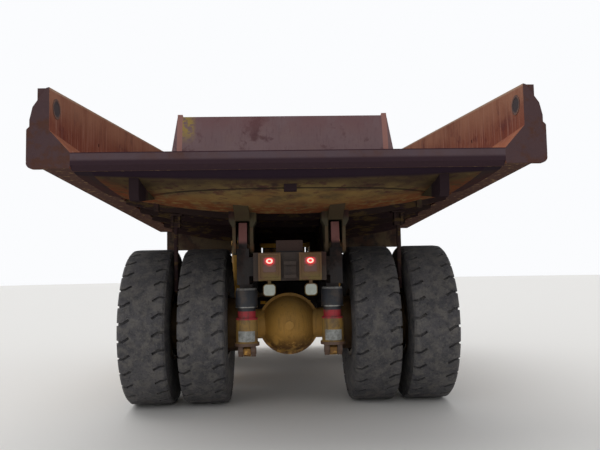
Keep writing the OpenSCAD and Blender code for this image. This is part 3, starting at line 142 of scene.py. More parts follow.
def facing(tree, axis, low, high):
    """Grows from 0 to 1 as a surface turns towards an axis of the truck, or away if low > high."""
    normal = add(tree, "ShaderNodeTexCoord").outputs["Normal"]
    parts = add(tree, "ShaderNodeSeparateXYZ", {0: normal})
    return add(tree, "ShaderNodeMapRange", {
        "Value": parts.outputs[axis], "From Min": low, "From Max": high},
        interpolation_type="SMOOTHSTEP").outputs[0]


def band(tree, direction, low, high):
    """Grows from 0 to 1 between two distances in metres along a direction, from the origin."""
    place = add(tree, "ShaderNodeTexCoord").outputs["Object"]
    along = add(tree, "ShaderNodeVectorMath", {0: place, 1: direction}, operation="DOT_PRODUCT")
    return add(tree, "ShaderNodeMapRange", {
        "Value": along.outputs["Value"], "From Min": low, "From Max": high},
        interpolation_type="SMOOTHSTEP").outputs[0]


def slab(tree, axis, middle, half):
    """1 inside a slab that lies on both sides of the truck's middle, and 0 outside it."""
    place = add(tree, "ShaderNodeTexCoord").outputs["Object"]
    parts = add(tree, "ShaderNodeSeparateXYZ", {0: place})
    away = add(tree, "ShaderNodeMath", {0: parts.outputs[axis]}, operation="ABSOLUTE")
    return add(tree, "ShaderNodeMath", {0: away.outputs[0], 1: middle, 2: half},
               operation="COMPARE").outputs[0]


def away_from(tree, point, along=(1, 1, 1)):
    """The distance to a point and to its mirror images, along the axes that count."""
    place = add(tree, "ShaderNodeTexCoord").outputs["Object"]
    mirrored = add(tree, "ShaderNodeVectorMath", {0: place}, operation="ABSOLUTE")
    kept = add(tree, "ShaderNodeVectorMath", {0: mirrored.outputs[0], 1: along},
               operation="MULTIPLY")
    return add(tree, "ShaderNodeVectorMath", {0: kept.outputs[0], 1: point},
               operation="DISTANCE").outputs["Value"]


def both(tree, one, other):
    """Where two masks hold together."""
    return add(tree, "ShaderNodeMath", {0: one, 1: other}, operation="MULTIPLY").outputs[0]


print("coats ready")

# %% [markdown]
# ## Old paint
# Paint on a working truck fails in a set order: it fades, it chips where stones strike and the
# bare spots rust, rain pulls the rust down in streaks, and dust settles on what faces up. The
# coats follow that order. Rust is rougher than paint and stands a little off it, which the bump
# shows where light grazes the plate.

# %% Weathered paint on steel plate
def weathered(name, shades, gone=0.5, streaks=0.5, dusty=0.4, patch_mm=700, gloss=0.2):
    """Five shades are given: the paint, its faded patches, rust, deep rust and dust.

    gone is how much of the paint rust has eaten, streaks is the strength of the rain marks, and
    dusty is the strength of the dust.
    """
    paint, faded, rust, deep_rust, dust = shades.split()
    # Rust and caked dust scatter light, so little of the pale ground shines back from them
    material, tree, shader = start(name, Metallic=0.0, Specular_IOR_Level=gloss)
    colour, _ = coat(tree, paint, faded, 1600, 0.35, 0.65)
    colour, bare = coat(tree, colour, rust, patch_mm, 0.96 - gone, 1.05 - gone)
    colour, _ = coat(tree, colour, deep_rust, 150, 0.40, 0.62, where=bare)
    colour, _ = coat(tree, colour, deep_rust, 45, 0.50, 0.72, streaks, drawn_out=14)
    colour, _ = coat(tree, colour, dust, 30, 0.56, 0.74, streaks * 0.5, drawn_out=18)
    colour, _ = coat(tree, colour, dust, 420, 0.42, 0.72, dusty * 0.5)
    lying_dust = facing(tree, "Z", 0.3, 0.95)
    colour, _ = coat(tree, colour, dust, 60, 0.30, 0.60, dusty, where=lying_dust)
    tree.links.new(colour, shader.inputs["Base Color"])
    rough = add(tree, "ShaderNodeMapRange", {"Value": bare, "To Min": 0.52, "To Max": 0.86})
    tree.links.new(rough.outputs[0], shader.inputs["Roughness"])
    _, grain = coat(tree, "000000", "ffffff", 22, 0.30, 0.70)
    height = add(tree, "ShaderNodeMath", {0: bare, 1: -0.5, 2: grain}, operation="MULTIPLY_ADD")
    bump = add(tree, "ShaderNodeBump", {
        "Strength": 0.35, "Distance": 0.003, "Height": height.outputs[0]})
    tree.links.new(bump.outputs[0], shader.inputs["Normal"])
    return material, tree, shader, colour


chassis_paint = weathered("old_yellow_paint", "8f7238 7a6034 5e4030 3a2e2a 857558",
                          gone=0.46, streaks=0.4)[0]
grimy_paint = weathered("oily_brown_paint", "54442e 46392a 443028 2a2424 6a5c46",
                        streaks=0.4, dusty=0.3)[0]
sunned_yellow = "c4922c b98a3a 7a4e32 55382c a2906c"
machine_yellow = weathered("sunned_yellow_paint", sunned_yellow,
                           gone=0.34, streaks=0.3, dusty=0.3)[0]

# Painted shade: in the hollow between the twin tyres, where little light reaches, the wheels are
# made nearly black
twin_wheel_paint, tree, shader, colour = weathered(
    "yellow_paint_with_painted_shade", sunned_yellow, gone=0.34, streaks=0.3, dusty=0.3)
painted_shade_hollow = slab(tree, "X", 0.9, 0.92)
colour, _ = coat(tree, colour, "30261c", 300, 0.05, 0.40, 0.92, where=painted_shade_hollow)
tree.links.new(colour, shader.inputs["Base Color"])
print("four paints made")

# %% [markdown]
# ## The rusted body
# The body has lost its paint. Rock scours the inner walls to a red brown that rain streaks
# downward, and orange dust lies on the sloped corner plates and along the top edge. The inner walls
# are painted lighter near their top edge as a painted highlight, and the faces that look backward
# or down are painted a darker, dull purple brown as painted shade. So the rusted steel is one stack
# of coats, in which the way that a face looks picks the colour. Dry rust has no gloss, and its
# specular level is zero.

# %% Rusted plate
def rusted_body(name):
    material, tree, shader, colour = weathered(
        name, "7a4c40 8a5c4c 6e3c34 54343a 9a6e58", gone=0.44, streaks=0.9, dusty=0.0, gloss=0.0)
    upward = facing(tree, "Z", 0.15, 0.6)
    colour, _ = coat(tree, colour, "aa7450", 900, 0.30, 0.62, 0.85, where=upward)
    # Painted shade: faces that look backward are made a darker, dull purple brown, as the rear
    # stands out of the light
    backward = facing(tree, "Y", -0.75, -0.95)
    colour, _ = coat(tree, colour, "504042", 500, 0.10, 0.30, 0.95, where=backward)
    colour, _ = coat(tree, colour, "553a30", 260, 0.46, 0.60, 0.8, where=backward)
    # Painted shade: faces that look down are darkened, as under the body; the pale flecks on them
    # are dust
    downward = facing(tree, "Z", -0.3, -0.6)
    colour, _ = coat(tree, colour, "523f3a", 600, 0.05, 0.25, 0.95, where=downward)
    colour, _ = coat(tree, colour, "8a7052", 70, 0.54, 0.64, 0.7, where=downward)
    return material, tree, shader, colour


rusted_wall, tree, shader, colour = rusted_body("rusted_wall_plate")
aside = both(tree, facing(tree, "Y", -0.9, -0.6), facing(tree, "Z", -0.5, -0.2))
redder = both(tree, aside, band(tree, up, 3.65, 3.15))
colour, _ = coat(tree, colour, "8e5646", 500, 0.20, 0.55, 0.75, drawn_out=2, where=redder)
colour, _ = coat(tree, colour, "ac8678", 50, 0.50, 0.66, 0.5, drawn_out=16, where=aside)
# The walls' top edge climbs 77 mm a metre, so distances are taken square to that slope
top_slope, top_edge = (0, -0.0773, 1), 4.0625
# Painted highlight: the inner walls are made lighter towards their top edge, and palest just below
# it, where more light falls
near_top = both(tree, aside, band(tree, top_slope, top_edge - 0.42, top_edge - 0.05))
colour, _ = coat(tree, colour, "a67c66", 380, 0.20, 0.60, 0.75, drawn_out=2, where=near_top)
very_top = both(tree, aside, band(tree, top_slope, top_edge - 0.03, top_edge - 0.012))
colour, _ = coat(tree, colour, "b39a85", 120, 0.20, 0.45, 0.85, where=very_top)
tree.links.new(colour, shader.inputs["Base Color"])

rusted_floor, tree, shader, colour = rusted_body("rusted_floor_plate")
backward = facing(tree, "Y", -0.2, -0.6)
colour, _ = coat(tree, colour, "5e5259", 700, 0.25, 0.60, 0.6, where=backward)
# Painted shade: below a lit band, the lower part of the lip's rear face is darkened as shade; a
# thin dark line also runs along its top
for low, high, shade in ((2.975, 2.940, "382a30"), (3.024, 3.030, "3c2a30")):
    edge = both(tree, backward, band(tree, up, low, high))
    colour, _ = coat(tree, colour, shade, 300, 0.05, 0.25, 0.95, where=edge)
tree.links.new(colour, shader.inputs["Base Color"])
print("body plates made")

# %% [markdown]
# ## Headboard
# Nearly all the yellow has gone from the headboard, apart from one patch beside its left ear. The
# canopy over the deck has the same finish.

# %% Paint left on the headboard
headboard_paint, tree, shader, colour = weathered(
    "worn_headboard_paint", "6c575a 746063 614a4d 563e42 80685f", gone=0.40, streaks=0.4)
upper = band(tree, up, 4.35, 4.95)
colour, _ = coat(tree, colour, "6c4a4c", 500, 0.30, 0.60, 0.7, drawn_out=2, where=upper)
ear = slab(tree, "X", 2.067, 0.052)
colour, _ = coat(tree, colour, "9a6e64", 200, 0.20, 0.45, 0.8, where=ear)
left_end = both(tree, band(tree, leftward, 1.72, 1.86), band(tree, leftward, 2.016, 2.014))
left_end = both(tree, left_end, facing(tree, "Y", -0.2, -0.5))
patch = both(tree, left_end, band(tree, up, 4.35, 4.70))
colour, _ = coat(tree, colour, "96803c", 90, 0.40, 0.52, 0.85, where=patch)
tree.links.new(colour, shader.inputs["Base Color"])
print("headboard made")

# %% [markdown]
# ## Underside
# Below the floor the paint turned an oily olive. Rust eats it from the lower edge of the tail
# bolster, whose arc the pattern follows. Three places get names here, because other finishes need
# them too: that arc, the line of the hinges and the box beams.

# %% Paint left on the underside
def above_arc(tree, low, high):
    """Grows from 0 to 1 between two heights above the arc along the tail bolster's foot."""
    place = add(tree, "ShaderNodeTexCoord").outputs["Object"]
    parts = add(tree, "ShaderNodeSeparateXYZ", {0: place})
    across = parts.outputs["X"]
    square = add(tree, "ShaderNodeMath", {0: across, 1: across}, operation="MULTIPLY")
    foot = add(tree, "ShaderNodeMath", {0: square.outputs[0], 1: arc_bend, 2: arc_z},
               operation="MULTIPLY_ADD")
    above = add(tree, "ShaderNodeMath", {0: parts.outputs["Z"], 1: foot.outputs[0]},
                operation="SUBTRACT")
    return add(tree, "ShaderNodeMapRange", {
        "Value": above.outputs[0], "From Min": low, "From Max": high},
        interpolation_type="SMOOTHSTEP").outputs[0]


arc_z, arc_bend = 2.531, 0.0538
hinge_back, hinge_reach, beam_x = 3.08, 0.4, 0.57
underside, tree, shader, colour = weathered(
    "oily_olive_paint", "4c4430 443c2e 43302c 2c2628 5e523e",
    gone=0.48, streaks=0.3, dusty=0.3, gloss=0.0)
hinge_plate = both(tree, slab(tree, "Y", 3.15, 0.06), facing(tree, "Y", -0.5, -0.9))
colour, _ = coat(tree, colour, "86703c", 420, 0.30, 0.55, 0.9, where=hinge_plate)
colour, _ = coat(tree, colour, "54382f", 150, 0.52, 0.62, 0.8, drawn_out=0.5, where=hinge_plate)
rust_edge = both(tree, hinge_plate, above_arc(tree, 0.13, 0.02))
colour, _ = coat(tree, colour, "7e4424", 120, 0.30, 0.52, 0.9, where=rust_edge)
# Painted shade: deeper under the body the paint is darkened, as less light reaches there; the
# streaks laid after it are dirt
deep_in = band(tree, ahead, -3.0, -2.4)
colour, _ = coat(tree, colour, "35282a", 500, 0.05, 0.30, 0.85, where=deep_in)
colour, _ = coat(tree, colour, "5c4a2e", 300, 0.52, 0.60, 0.7, drawn_out=0.3, where=deep_in)
bracket = both(tree, band(tree, up, 2.50, 2.42), slab(tree, "Y", hinge_back, hinge_reach))
colour, _ = coat(tree, colour, "4a463a", 200, 0.20, 0.50, 0.85, where=bracket)
# Painted shade: the gussets behind the bolster are made nearly black, as they stand in the body's
# shade
behind = band(tree, ahead, -4.0, -4.1)
for middle, half in ((1.62, 0.06), (0.0, 0.075)):
    gusset = both(tree, slab(tree, "X", middle, half), behind)
    colour, _ = coat(tree, colour, "2c2226", 300, 0.05, 0.30, 0.95, where=gusset)
box_beam = both(tree, slab(tree, "X", beam_x, 0.095), band(tree, ahead, -3.18, -3.2))
colour, _ = coat(tree, colour, "453b2c", 300, 0.05, 0.30, 0.8, where=box_beam)
tree.links.new(colour, shader.inputs["Base Color"])
print("underside made")

# %% [markdown]
# ## Frame and lamp panel
# The frame's tail is nearly black with road dirt, except for the ears that carry the body, where
# the paint has rubbed to a dull pink. On the panel only the two boxes round the lamps still show
# their ochre. Both finishes pick these places by their distance from the truck's middle.

# %% Dark frame and ochre lamp boxes
frame_paint, tree, shader, colour = weathered(
    "dark_frame_paint", "231e1d 1d191a 2b1f1b 141213 40372f", dusty=0.3)
ears = both(tree, slab(tree, "X", beam_x, 0.07), band(tree, up, 2.14, 2.20))
ears = both(tree, ears, slab(tree, "Y", hinge_back, hinge_reach))
colour, _ = coat(tree, colour, "7e5450", 160, 0.20, 0.50, 0.85, where=ears)
cross_box = both(tree, slab(tree, "X", 0, 0.2), band(tree, up, 2.05, 2.07))
colour, _ = coat(tree, colour, "3a2720", 120, 0.10, 0.40, 0.9, where=cross_box)
tree.links.new(colour, shader.inputs["Base Color"])

lamp_x, lamp_z = 0.245, 1.936
panel_paint, tree, shader, colour = weathered(
    "lamp_panel_paint", "40322a 38302c 46302a 262022 5a4c3c", gone=0.46, streaks=0.4, dusty=0.3)
boxes = slab(tree, "X", lamp_x, 0.134)
colour, _ = coat(tree, colour, "6e5238", 220, 0.10, 0.45, 0.85, where=boxes)
low_part = both(tree, boxes, band(tree, up, 1.82, 1.74))
colour, _ = coat(tree, colour, "6e6034", 130, 0.36, 0.54, 0.7, where=low_part)
tree.links.new(colour, shader.inputs["Base Color"])
print("frame and panel made")

# %% [markdown]
# ## Axle housing
# The cast dome of the differential is the warmest colour at the back: ochre paint with a soft sheen
# of oil, dark where grease gathers dirt below. The faces that look ahead are as dark as mud, and
# the axle's ends, between the tyres, are darkened as painted shade.

# %% Oily casting
oily_casting, tree, shader, colour = weathered(
    "oily_ochre_casting", "cf9c4c b48a48 94683a 4e3a2a a08a64",
    gone=0.32, streaks=0.4, dusty=0.25, patch_mm=420)
lower = band(tree, up, 1.02, 0.72)
colour, _ = coat(tree, colour, "54351f", 130, 0.40, 0.54, 0.85, where=lower)
forward_face = facing(tree, "Y", -0.15, 0.3)
colour, _ = coat(tree, colour, "3a2e26", 260, 0.10, 0.50, 0.6, where=forward_face)
# Painted shade: the axle's ends between the tyres are made as dark as the shade there
axle_ends = slab(tree, "X", 1.35, 0.66)
colour, _ = coat(tree, colour, "33271d", 300, 0.05, 0.45, 0.85, where=axle_ends)
tree.links.new(colour, shader.inputs["Base Color"])
print("casting made")

# %% [markdown]
# ## Tyre rubber
# A mining tyre is natural rubber filled with carbon black, moulded and then scoured by stones. It
# is never black in daylight: fine grey dust fills its pores, and it has no gloss left. Dust
# stays on the walls, and the faces of the lugs are worn to a dark grey.

# %% Dusty rubber
rubber, tree, shader = start("scoured_rubber", Roughness=0.88)
colour, _ = coat(tree, "3b3a3d", "4e4c4e", 340, 0.35, 0.66)
colour, _ = coat(tree, colour, "6c6862", 26, 0.50, 0.70, 0.55)
colour, pores = coat(tree, colour, "232226", 34, 0.50, 0.30, 0.7)
colour, _ = coat(tree, colour, "77726a", 120, 0.42, 0.64, 0.35)
tree.links.new(colour, shader.inputs["Base Color"])
bump = add(tree, "ShaderNodeBump", {"Strength": 0.7, "Distance": 0.007, "Height": pores},
           invert=True)
tree.links.new(bump.outputs[0], shader.inputs["Normal"])
print("rubber made")

# %% [markdown]
# ## The rear struts' bands of colour
# One strut is several parts stacked on each other: a brown foot, a yellow cylinder, a red band
# and a blue black rubber cover below a bright rim. The bands lie at fixed heights above the
# ground, so the height of each point picks its colour from a ramp with hard steps.

# %% Strut finish by height
strut_finish, tree, shader = start("banded_strut", Roughness=0.6)
foot_z, cap_z, rim_z = 0.6, 1.7, 1.574
place = add(tree, "ShaderNodeTexCoord").outputs["Object"]
parts = add(tree, "ShaderNodeSeparateXYZ", {0: place})
share_up = add(tree, "ShaderNodeMapRange", {
    "Value": parts.outputs["Z"], "From Min": foot_z, "From Max": cap_z})
bands = add(tree, "ShaderNodeValToRGB", {0: share_up.outputs[0]})
bands.color_ramp.interpolation = "CONSTANT"
bands.color_ramp.elements[0].color = linear("5b4436")
bands.color_ramp.elements[1].position = (rim_z - foot_z) / (cap_z - foot_z)
bands.color_ramp.elements[1].color = linear("8a8a88")
for z, shade in ((0.895, "8f6f34"), (1.192, "a52630"), (1.302, "23262d")):
    bands.color_ramp.elements.new((z - foot_z) / (cap_z - foot_z)).color = linear(shade)
colour, _ = coat(tree, bands.outputs[0], "4a3e34", 170, 0.44, 0.66, 0.7)
colour, _ = coat(tree, colour, "2c2626", 50, 0.52, 0.70, 0.6, drawn_out=8)
tree.links.new(colour, shader.inputs["Base Color"])
print("strut made")

# %% [markdown]
# ## Smaller finishes
# The rest are simple: oiled rods, black enamel, vinyl, safety glass and lenses. Each is one
# colour with a veil of dirt, because nothing on a mine truck is clean.

# %% Metal, glass, lenses and vinyl
def soiled(name, colour, patch_mm, share, **shader_inputs):
    material, tree, shader = start(name, **shader_inputs)
    colour, _ = coat(tree, colour, "3b352e", patch_mm, 0.35, 0.70, share)
    tree.links.new(colour, shader.inputs["Base Color"])
    return material


oiled_steel = soiled("oiled_steel", "8d8c88", 55, 0.5, Metallic=0.85, Roughness=0.35)
dull_black = soiled("dull_black_enamel", "26272b", 120, 0.5, Roughness=0.7)
burnt_pipe = soiled("burnt_pipe", "6a4a3a", 80, 0.6, Roughness=0.85)
vinyl = soiled("worn_vinyl", "2a2a2c", 90, 0.35, Roughness=0.55)
seal_rubber = soiled("window_seal_rubber", "1e1e20", 40, 0.4, Roughness=0.75)
glass = soiled("tinted_glass", "3a4a4c", 300, 0.15, Roughness=0.06, Alpha=0.45)
mirror_glass = soiled("silvered_glass", "c8ccd0", 200, 0.15, Metallic=1.0, Roughness=0.05)
frosted = soiled("frosted_lens", "a4aaa0", 60, 0.2, Roughness=0.35)
pale_plate = soiled("pale_blank_plate", "9a9c98", 60, 0.6, Roughness=0.5)
print("small finishes made")

# %% [markdown]
# ## Lit lenses
# The upper lens of each tail lamp is lit, so its shader sends out light of its own, less the
# further a point lies from the ring of diodes behind it. The lower lens is dull brown and unlit.

# %% Glowing lens
red_lens, tree, shader = start("red_lens", Roughness=0.3, Emission_Color="e01822")
colour, _ = coat(tree, "6a2222", "5c3a28", 60, 0.45, 0.65, 0.6)
lower_lens = band(tree, up, 1.893, 1.887)
colour, _ = coat(tree, colour, "483422", 40, 0.15, 0.40, 0.9, where=lower_lens)
tree.links.new(colour, shader.inputs["Base Color"])
apart = away_from(tree, (lamp_x, 0, lamp_z), along=(1, 0, 1))
glow = add(tree, "ShaderNodeMapRange", {
    "Value": apart, "From Min": 0.02, "From Max": 0.075, "To Min": 1.1, "To Max": 0.02},
    interpolation_type="SMOOTHSTEP")
tree.links.new(glow.outputs[0], shader.inputs["Emission Strength"])
lit_diodes = start("lit_diodes", Base_Color="ff5a50", Emission_Color="ff8a7c",
                   Emission_Strength=3.0)[0]
print("lenses made")

# %% [markdown]
# ## Dress the solids
# Each solid has one material slot, and it takes the finish that the photograph shows, or that
# such a truck has where the photograph doesn't show it.

# %% Give each solid its finish
finish = {
    rubber: ["front_tyre_left", "front_tyre_right", "rear_tyre_left", "rear_tyre_right"],
    rusted_wall: ["bed_sides"],
    rusted_floor: ["bed_floor"],
    headboard_paint: ["bed_headboard", "bed_canopy"],
    underside: ["bed_beams", "rock_ejectors"],
    strut_finish: ["rear_struts"],
    oily_casting: ["rear_axle"],
    frame_paint: ["frame"],
    panel_paint: ["lamp_panel"],
    grimy_paint: ["axle_links", "driveline", "deck"],
    chassis_paint: ["tie_rod", "knuckle_left", "knuckle_right", "steer_barrel_left",
                    "steer_barrel_right", "engine", "battery_box"],
    machine_yellow: ["bumper", "hood", "cab", "cab_door", "handrails", "ladders", "air_cleaners",
                     "fuel_tank", "hydraulic_tank", "front_wheel_left", "front_wheel_right",
                     "hoist_barrel_left", "hoist_barrel_right"],
    twin_wheel_paint: ["rear_wheel_left", "rear_wheel_right"],
    dull_black: ["front_struts", "radiator", "grille", "mirrors"],
    burnt_pipe: ["exhaust"],
    oiled_steel: ["steer_rod_left", "steer_rod_right", "hoist_tube_left", "hoist_tube_right",
                  "hoist_rod_left", "hoist_rod_right"],
    glass: ["cab_glass", "door_glass"],
    vinyl: ["cab_seat"],
    frosted: ["white_lamps"],
    red_lens: ["tail_lamps"]}
for material, names in finish.items():
    for name in names:
        nodes[name].data.materials.clear()
        nodes[name].data.materials.append(material)
without = set(nodes) - {name for names in finish.values() for name in names}
print("solids without a finish:", sorted(without))

# %% [markdown]
# ## Bolts
# Hexagon heads hold the wheels and the axle's cover. One head is a cone with six sides, and a spin
# with use_duplicate sets copies of it round the axis, which is quicker and truer than working out
# each place. Whatever comes in pairs is made by a loop over both sides of the truck.

# %% Make a piece, and a ring of bolt heads
sides = ((-1, "left"), (1, "right"))


def piece(name, mesh, material, body):
    bmesh.ops.recalc_face_normals(mesh, faces=mesh.faces)
    data = bpy.data.meshes.new(name)
    mesh.to_mesh(data)
    mesh.free()
    data.materials.append(material)
    made = bpy.data.objects.new(name, data)
    scene.collection.objects.link(made)
    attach(made, body)


def bolt_ring(mesh, centre, axis, radius, count, across, height):
    """Hexagon heads on a circle about centre, standing out along axis."""
    axis = Vector(axis)
    side = axis.orthogonal().normalized()
    face = axis.to_track_quat("Z", "Y").to_matrix().to_4x4()
    sunk = 0.002
    middle = Vector(centre) + side * radius + axis * (height / 2 - sunk)
    # A hexagon's corners lie its width across the flats over 1.73 from its middle
    foot_radius, top_radius = across / 1.73, across / 1.9
    head = bmesh.ops.create_cone(
        mesh, cap_ends=True, segments=6, radius1=foot_radius, radius2=top_radius,
        depth=height, matrix=Matrix.Translation(middle) @ face)["verts"]
    around = set(head)
    geometry = head + [f for f in mesh.faces if around.issuperset(f.verts)]
    geometry += [e for e in mesh.edges if around.issuperset(e.verts)]
    copies = count - 1
    bmesh.ops.spin(mesh, geom=geometry, cent=centre, axis=axis, angle=math.tau * copies / count,
                   steps=copies, use_duplicate=True)


print("bolt ring ready")

# %% [markdown]
# ## Where the bolts are
# Each wheel has an outer ring of 20 large heads that hold the rim and an inner ring of 12 small
# ones that close the hub. A ring's distance from the truck's middle, its radius and its count are
# given, and its other two coordinates come from the boxes of the wheels.

# %% Bolts of the wheels and the axle's cover
rear_low, rear_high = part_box("rear_wheel_left")
front_low, front_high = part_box("front_wheel_left")
axle_y, hub_z = (rear_low.y + rear_high.y) / 2, (rear_low.z + rear_high.z) / 2
steer_y = (front_low.y + front_high.y) / 2
head_sizes = {20: (0.036, 0.026), 12: (0.030, 0.020)}
wheel_rings = (("rear", axle_y, ((1.975, 0.295, 20), (2.044, 0.20, 12))),
               ("front", steer_y, ((1.875, 0.30, 20), (1.940, 0.175, 12))))
for side, name in sides:
    for end, hub_y, rings in wheel_rings:
        heads = bmesh.new()
        for out, radius, count in rings:
            bolt_ring(heads, (side * out, hub_y, hub_z), (side, 0, 0), radius, count,
                      *head_sizes[count])
        piece("%s_hub_bolts_%s" % (end, name), heads, machine_yellow,
              "%s_wheel_%s_body" % (end, name))
heads = bmesh.new()
cover_y = axle_y - 0.076
bolt_ring(heads, (0, cover_y, hub_z), (0, -1, 0),
          radius=0.419, count=30, across=0.024, height=0.018)
piece("axle_cover_bolts", heads, oily_casting, "chassis")
print("axle at y", round(axle_y, 3), "hub height", round(hub_z, 3))

# %% [markdown]
# ## Rings of diodes
# The lit lamp is a flat ring of small lights that the eye takes for one nearly white loop. A
# small circle of vertices, spun about the lamp's middle and then squashed, makes that loop.

# %% Diode rings
lens_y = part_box("tail_lamps")[0].y
ring_radius, cord_radius = 0.024, 0.0075
for side, name in sides:
    ring = bmesh.new()
    middle = Vector((side * lamp_x, lens_y - 0.001, lamp_z))
    first_place = Matrix.Translation(middle + Vector((ring_radius, 0, 0)))
    bmesh.ops.create_circle(ring, segments=8, radius=cord_radius, matrix=first_place)
    bmesh.ops.spin(ring, geom=ring.verts[:] + ring.edges[:], cent=middle, axis=(0, 1, 0),
                   angle=math.tau, steps=32, use_merge=True)
    bmesh.ops.scale(ring, vec=(1.25, 0.6, 0.95), verts=ring.verts,
                    space=Matrix.Translation(-middle))
    piece("diode_ring_" + name, ring, lit_diodes, "chassis")
print("lamps at height", lamp_z)

# %% [markdown]
# ## Plates and bands on the rear struts
# Each strut carries a pale plate with nothing on it and a thin bright clamp above the red band.
# The plate is a slice of a tube: a cylinder without ends, cut by an upright plane, then given its
# thickness.

# %% Blank plates and clamps
def tube(middle, z, radius, height):
    """A cylinder's bare wall, upright, at a height above the ground."""
    mesh = bmesh.new()
    bmesh.ops.create_cone(mesh, segments=64, radius1=radius, radius2=radius, depth=height,
                          matrix=Matrix.Translation(middle + Vector((0, 0, z))))
    return mesh


strut_x, strut_y, cut_y = 0.56, axle_y - 0.8, axle_y - 0.895
for side, name in sides:
    middle = Vector((side * strut_x, strut_y, 0))
    plates = tube(middle, z=0.985, radius=0.1425, height=0.135)
    bmesh.ops.bisect_plane(
        plates, geom=plates.verts[:] + plates.edges[:] + plates.faces[:],
        plane_co=(0, cut_y, 0), plane_no=(0, 1, 0), clear_outer=True)
    bmesh.ops.solidify(plates, geom=plates.faces[:], thickness=0.002)
    piece("blank_plates_" + name, plates, pale_plate, "chassis")
    clamp = tube(middle, z=1.357, radius=0.1455, height=0.014)
    bmesh.ops.solidify(clamp, geom=clamp.faces[:], thickness=0.003)
    piece("strut_clamp_" + name, clamp, oiled_steel, "chassis")
print("plates and clamps made")

# %% [markdown]
# ## The skin below the tail
# A thin plate closes the body's tail from below. It drops steeply behind the lip and then sweeps
# forward to the bolster over the hinges, whose lower edge is a wide arc. A flat grid is the
# start, and each of its points is moved to the height that the sweep has there.

# %% Swept skin
skin_paint, tree, shader, colour = weathered(
    "swept_skin_paint", "64523a 574833 4c362e 34282a 6c5e48",
    gone=0.44, streaks=0.2, dusty=0.5, gloss=0.0)
colour, _ = coat(tree, colour, "7c6842", 400, 0.44, 0.62, 0.8, drawn_out=0.4)
colour, _ = coat(tree, colour, "4c3230", 170, 0.54, 0.62, 0.8, drawn_out=0.4)
# Painted shade and light: the steep part just below the lip is darkened as the lip's shadow, and
# the flat part further down is lightened to stand in for light
steep_part = band(tree, up, 2.69, 2.76)
colour, _ = coat(tree, colour, "3c3128", 500, 0.05, 0.35, 0.75, where=steep_part)
flat_part = band(tree, up, 2.70, 2.66)
colour, _ = coat(tree, colour, "86683e", 300, 0.35, 0.60, 0.6, drawn_out=0.3, where=flat_part)
# Painted shade: a dark line along the crease, where the steep part meets the flat part
crease = slab(tree, "Z", 2.70, 0.005)
colour, _ = coat(tree, colour, "2a2722", 600, 0.10, 0.40, 0.8, where=crease)
near_foot = above_arc(tree, 0.09, 0.01)
colour, _ = coat(tree, colour, "6a3c28", 110, 0.36, 0.56, 0.9, drawn_out=0.4, where=near_foot)
# Painted shadow: the skin right behind the lip is made nearly black, as the lip shades it
behind_lip = band(tree, ahead, -4.40, -4.47)
colour, _ = coat(tree, colour, "2a2029", 400, 0.02, 0.20, 0.97, where=behind_lip)
outer = slab(tree, "X", 2.3, 0.28)
colour, _ = coat(tree, colour, "30282c", 300, 0.10, 0.40, 0.8, where=outer)
tree.links.new(colour, shader.inputs["Base Color"])

half_width, lip_y, lip_z, length = 2.2, -4.53, 2.86, 1.355
skin = bmesh.new()
bmesh.ops.create_grid(skin, x_segments=36, y_segments=24, size=1)
for vert in skin.verts:
    x, share = vert.co.x * half_width, (vert.co.y + 1) / 2
    # The front edge of the skin follows the bolster's arc, 4 mm below it
    drop = lip_z - (arc_z - 0.004 + arc_bend * x * x)
    vert.co = (x, lip_y + length * share, lip_z - drop * share ** 0.5)
bmesh.ops.recalc_face_normals(skin, faces=skin.faces)
bmesh.ops.solidify(skin, geom=skin.faces[:], thickness=0.006)
piece("tail_skin", skin, skin_paint, "bed")
print("skin from the lip to the hinges made")

# %% [markdown]
# ## Lifting eyes
# A round socket sits in each side wall near the tail, for the hooks that lift the body off. It is a
# dished disc: a circle, inset for its rim, whose middle is pushed back. It turns with the wall,
# which flares towards the tail. Its colour comes from the distance to the disc's middle: a brown
# rim round a dark hollow, which is painted shade standing for the shade inside the socket.

# %% Eyes in the side walls
eye_x, eye_y, eye_z = 2.4105, -4.425, 3.53
wall_flare = math.radians(1.263)
socket_steel, tree, shader = start("shaded_socket_steel", Roughness=0.85)
apart = away_from(tree, (eye_x, -eye_y, eye_z))
# Painted shade: the disc's middle is made dark, as the inside of a deep socket is
painted_shade_hollow = add(tree, "ShaderNodeMapRange", {"Value": apart, "From Min": 0.086, "From Max": 0.076})
colour, _ = coat(tree, "6a4c40", "4a3430", 60, 0.35, 0.65)
colour, _ = coat(tree, colour, "2a1e22", 90, 0.05, 0.25, where=painted_shade_hollow.outputs[0])
tree.links.new(colour, shader.inputs["Base Color"])
for side, name in sides:
    eye = bmesh.new()
    bmesh.ops.create_circle(eye, cap_ends=True, segments=48, radius=0.105)
    bmesh.ops.inset_region(eye, faces=eye.faces[:], thickness=0.024, use_boundary=True)
    middle = [f for f in eye.faces if len(f.verts) > 4]
    bmesh.ops.inset_region(eye, faces=middle, thickness=0.006, depth=-0.003, use_boundary=True)
    bmesh.ops.solidify(eye, geom=eye.faces[:], thickness=0.004)
    turn_in = Matrix.Rotation(-side * math.pi / 2, 4, "Y")
    flare = Matrix.Rotation(side * wall_flare, 4, "Z")
    in_wall = Matrix.Translation((side * eye_x, eye_y, eye_z))
    bmesh.ops.transform(eye, matrix=in_wall @ flare @ turn_in, verts=eye.verts)
    piece("wall_eye_" + name, eye, socket_steel, "bed")
print("two eyes made")

# %% [markdown]
# ## Window seals
# Glass on such a cab is held by a black rubber channel round each pane. A seal is one flat
# rectangle of the window's size: inset leaves a rim, the middle is deleted, solidify gives the
# rim its thickness, and a small bevel rounds it as rubber is round.

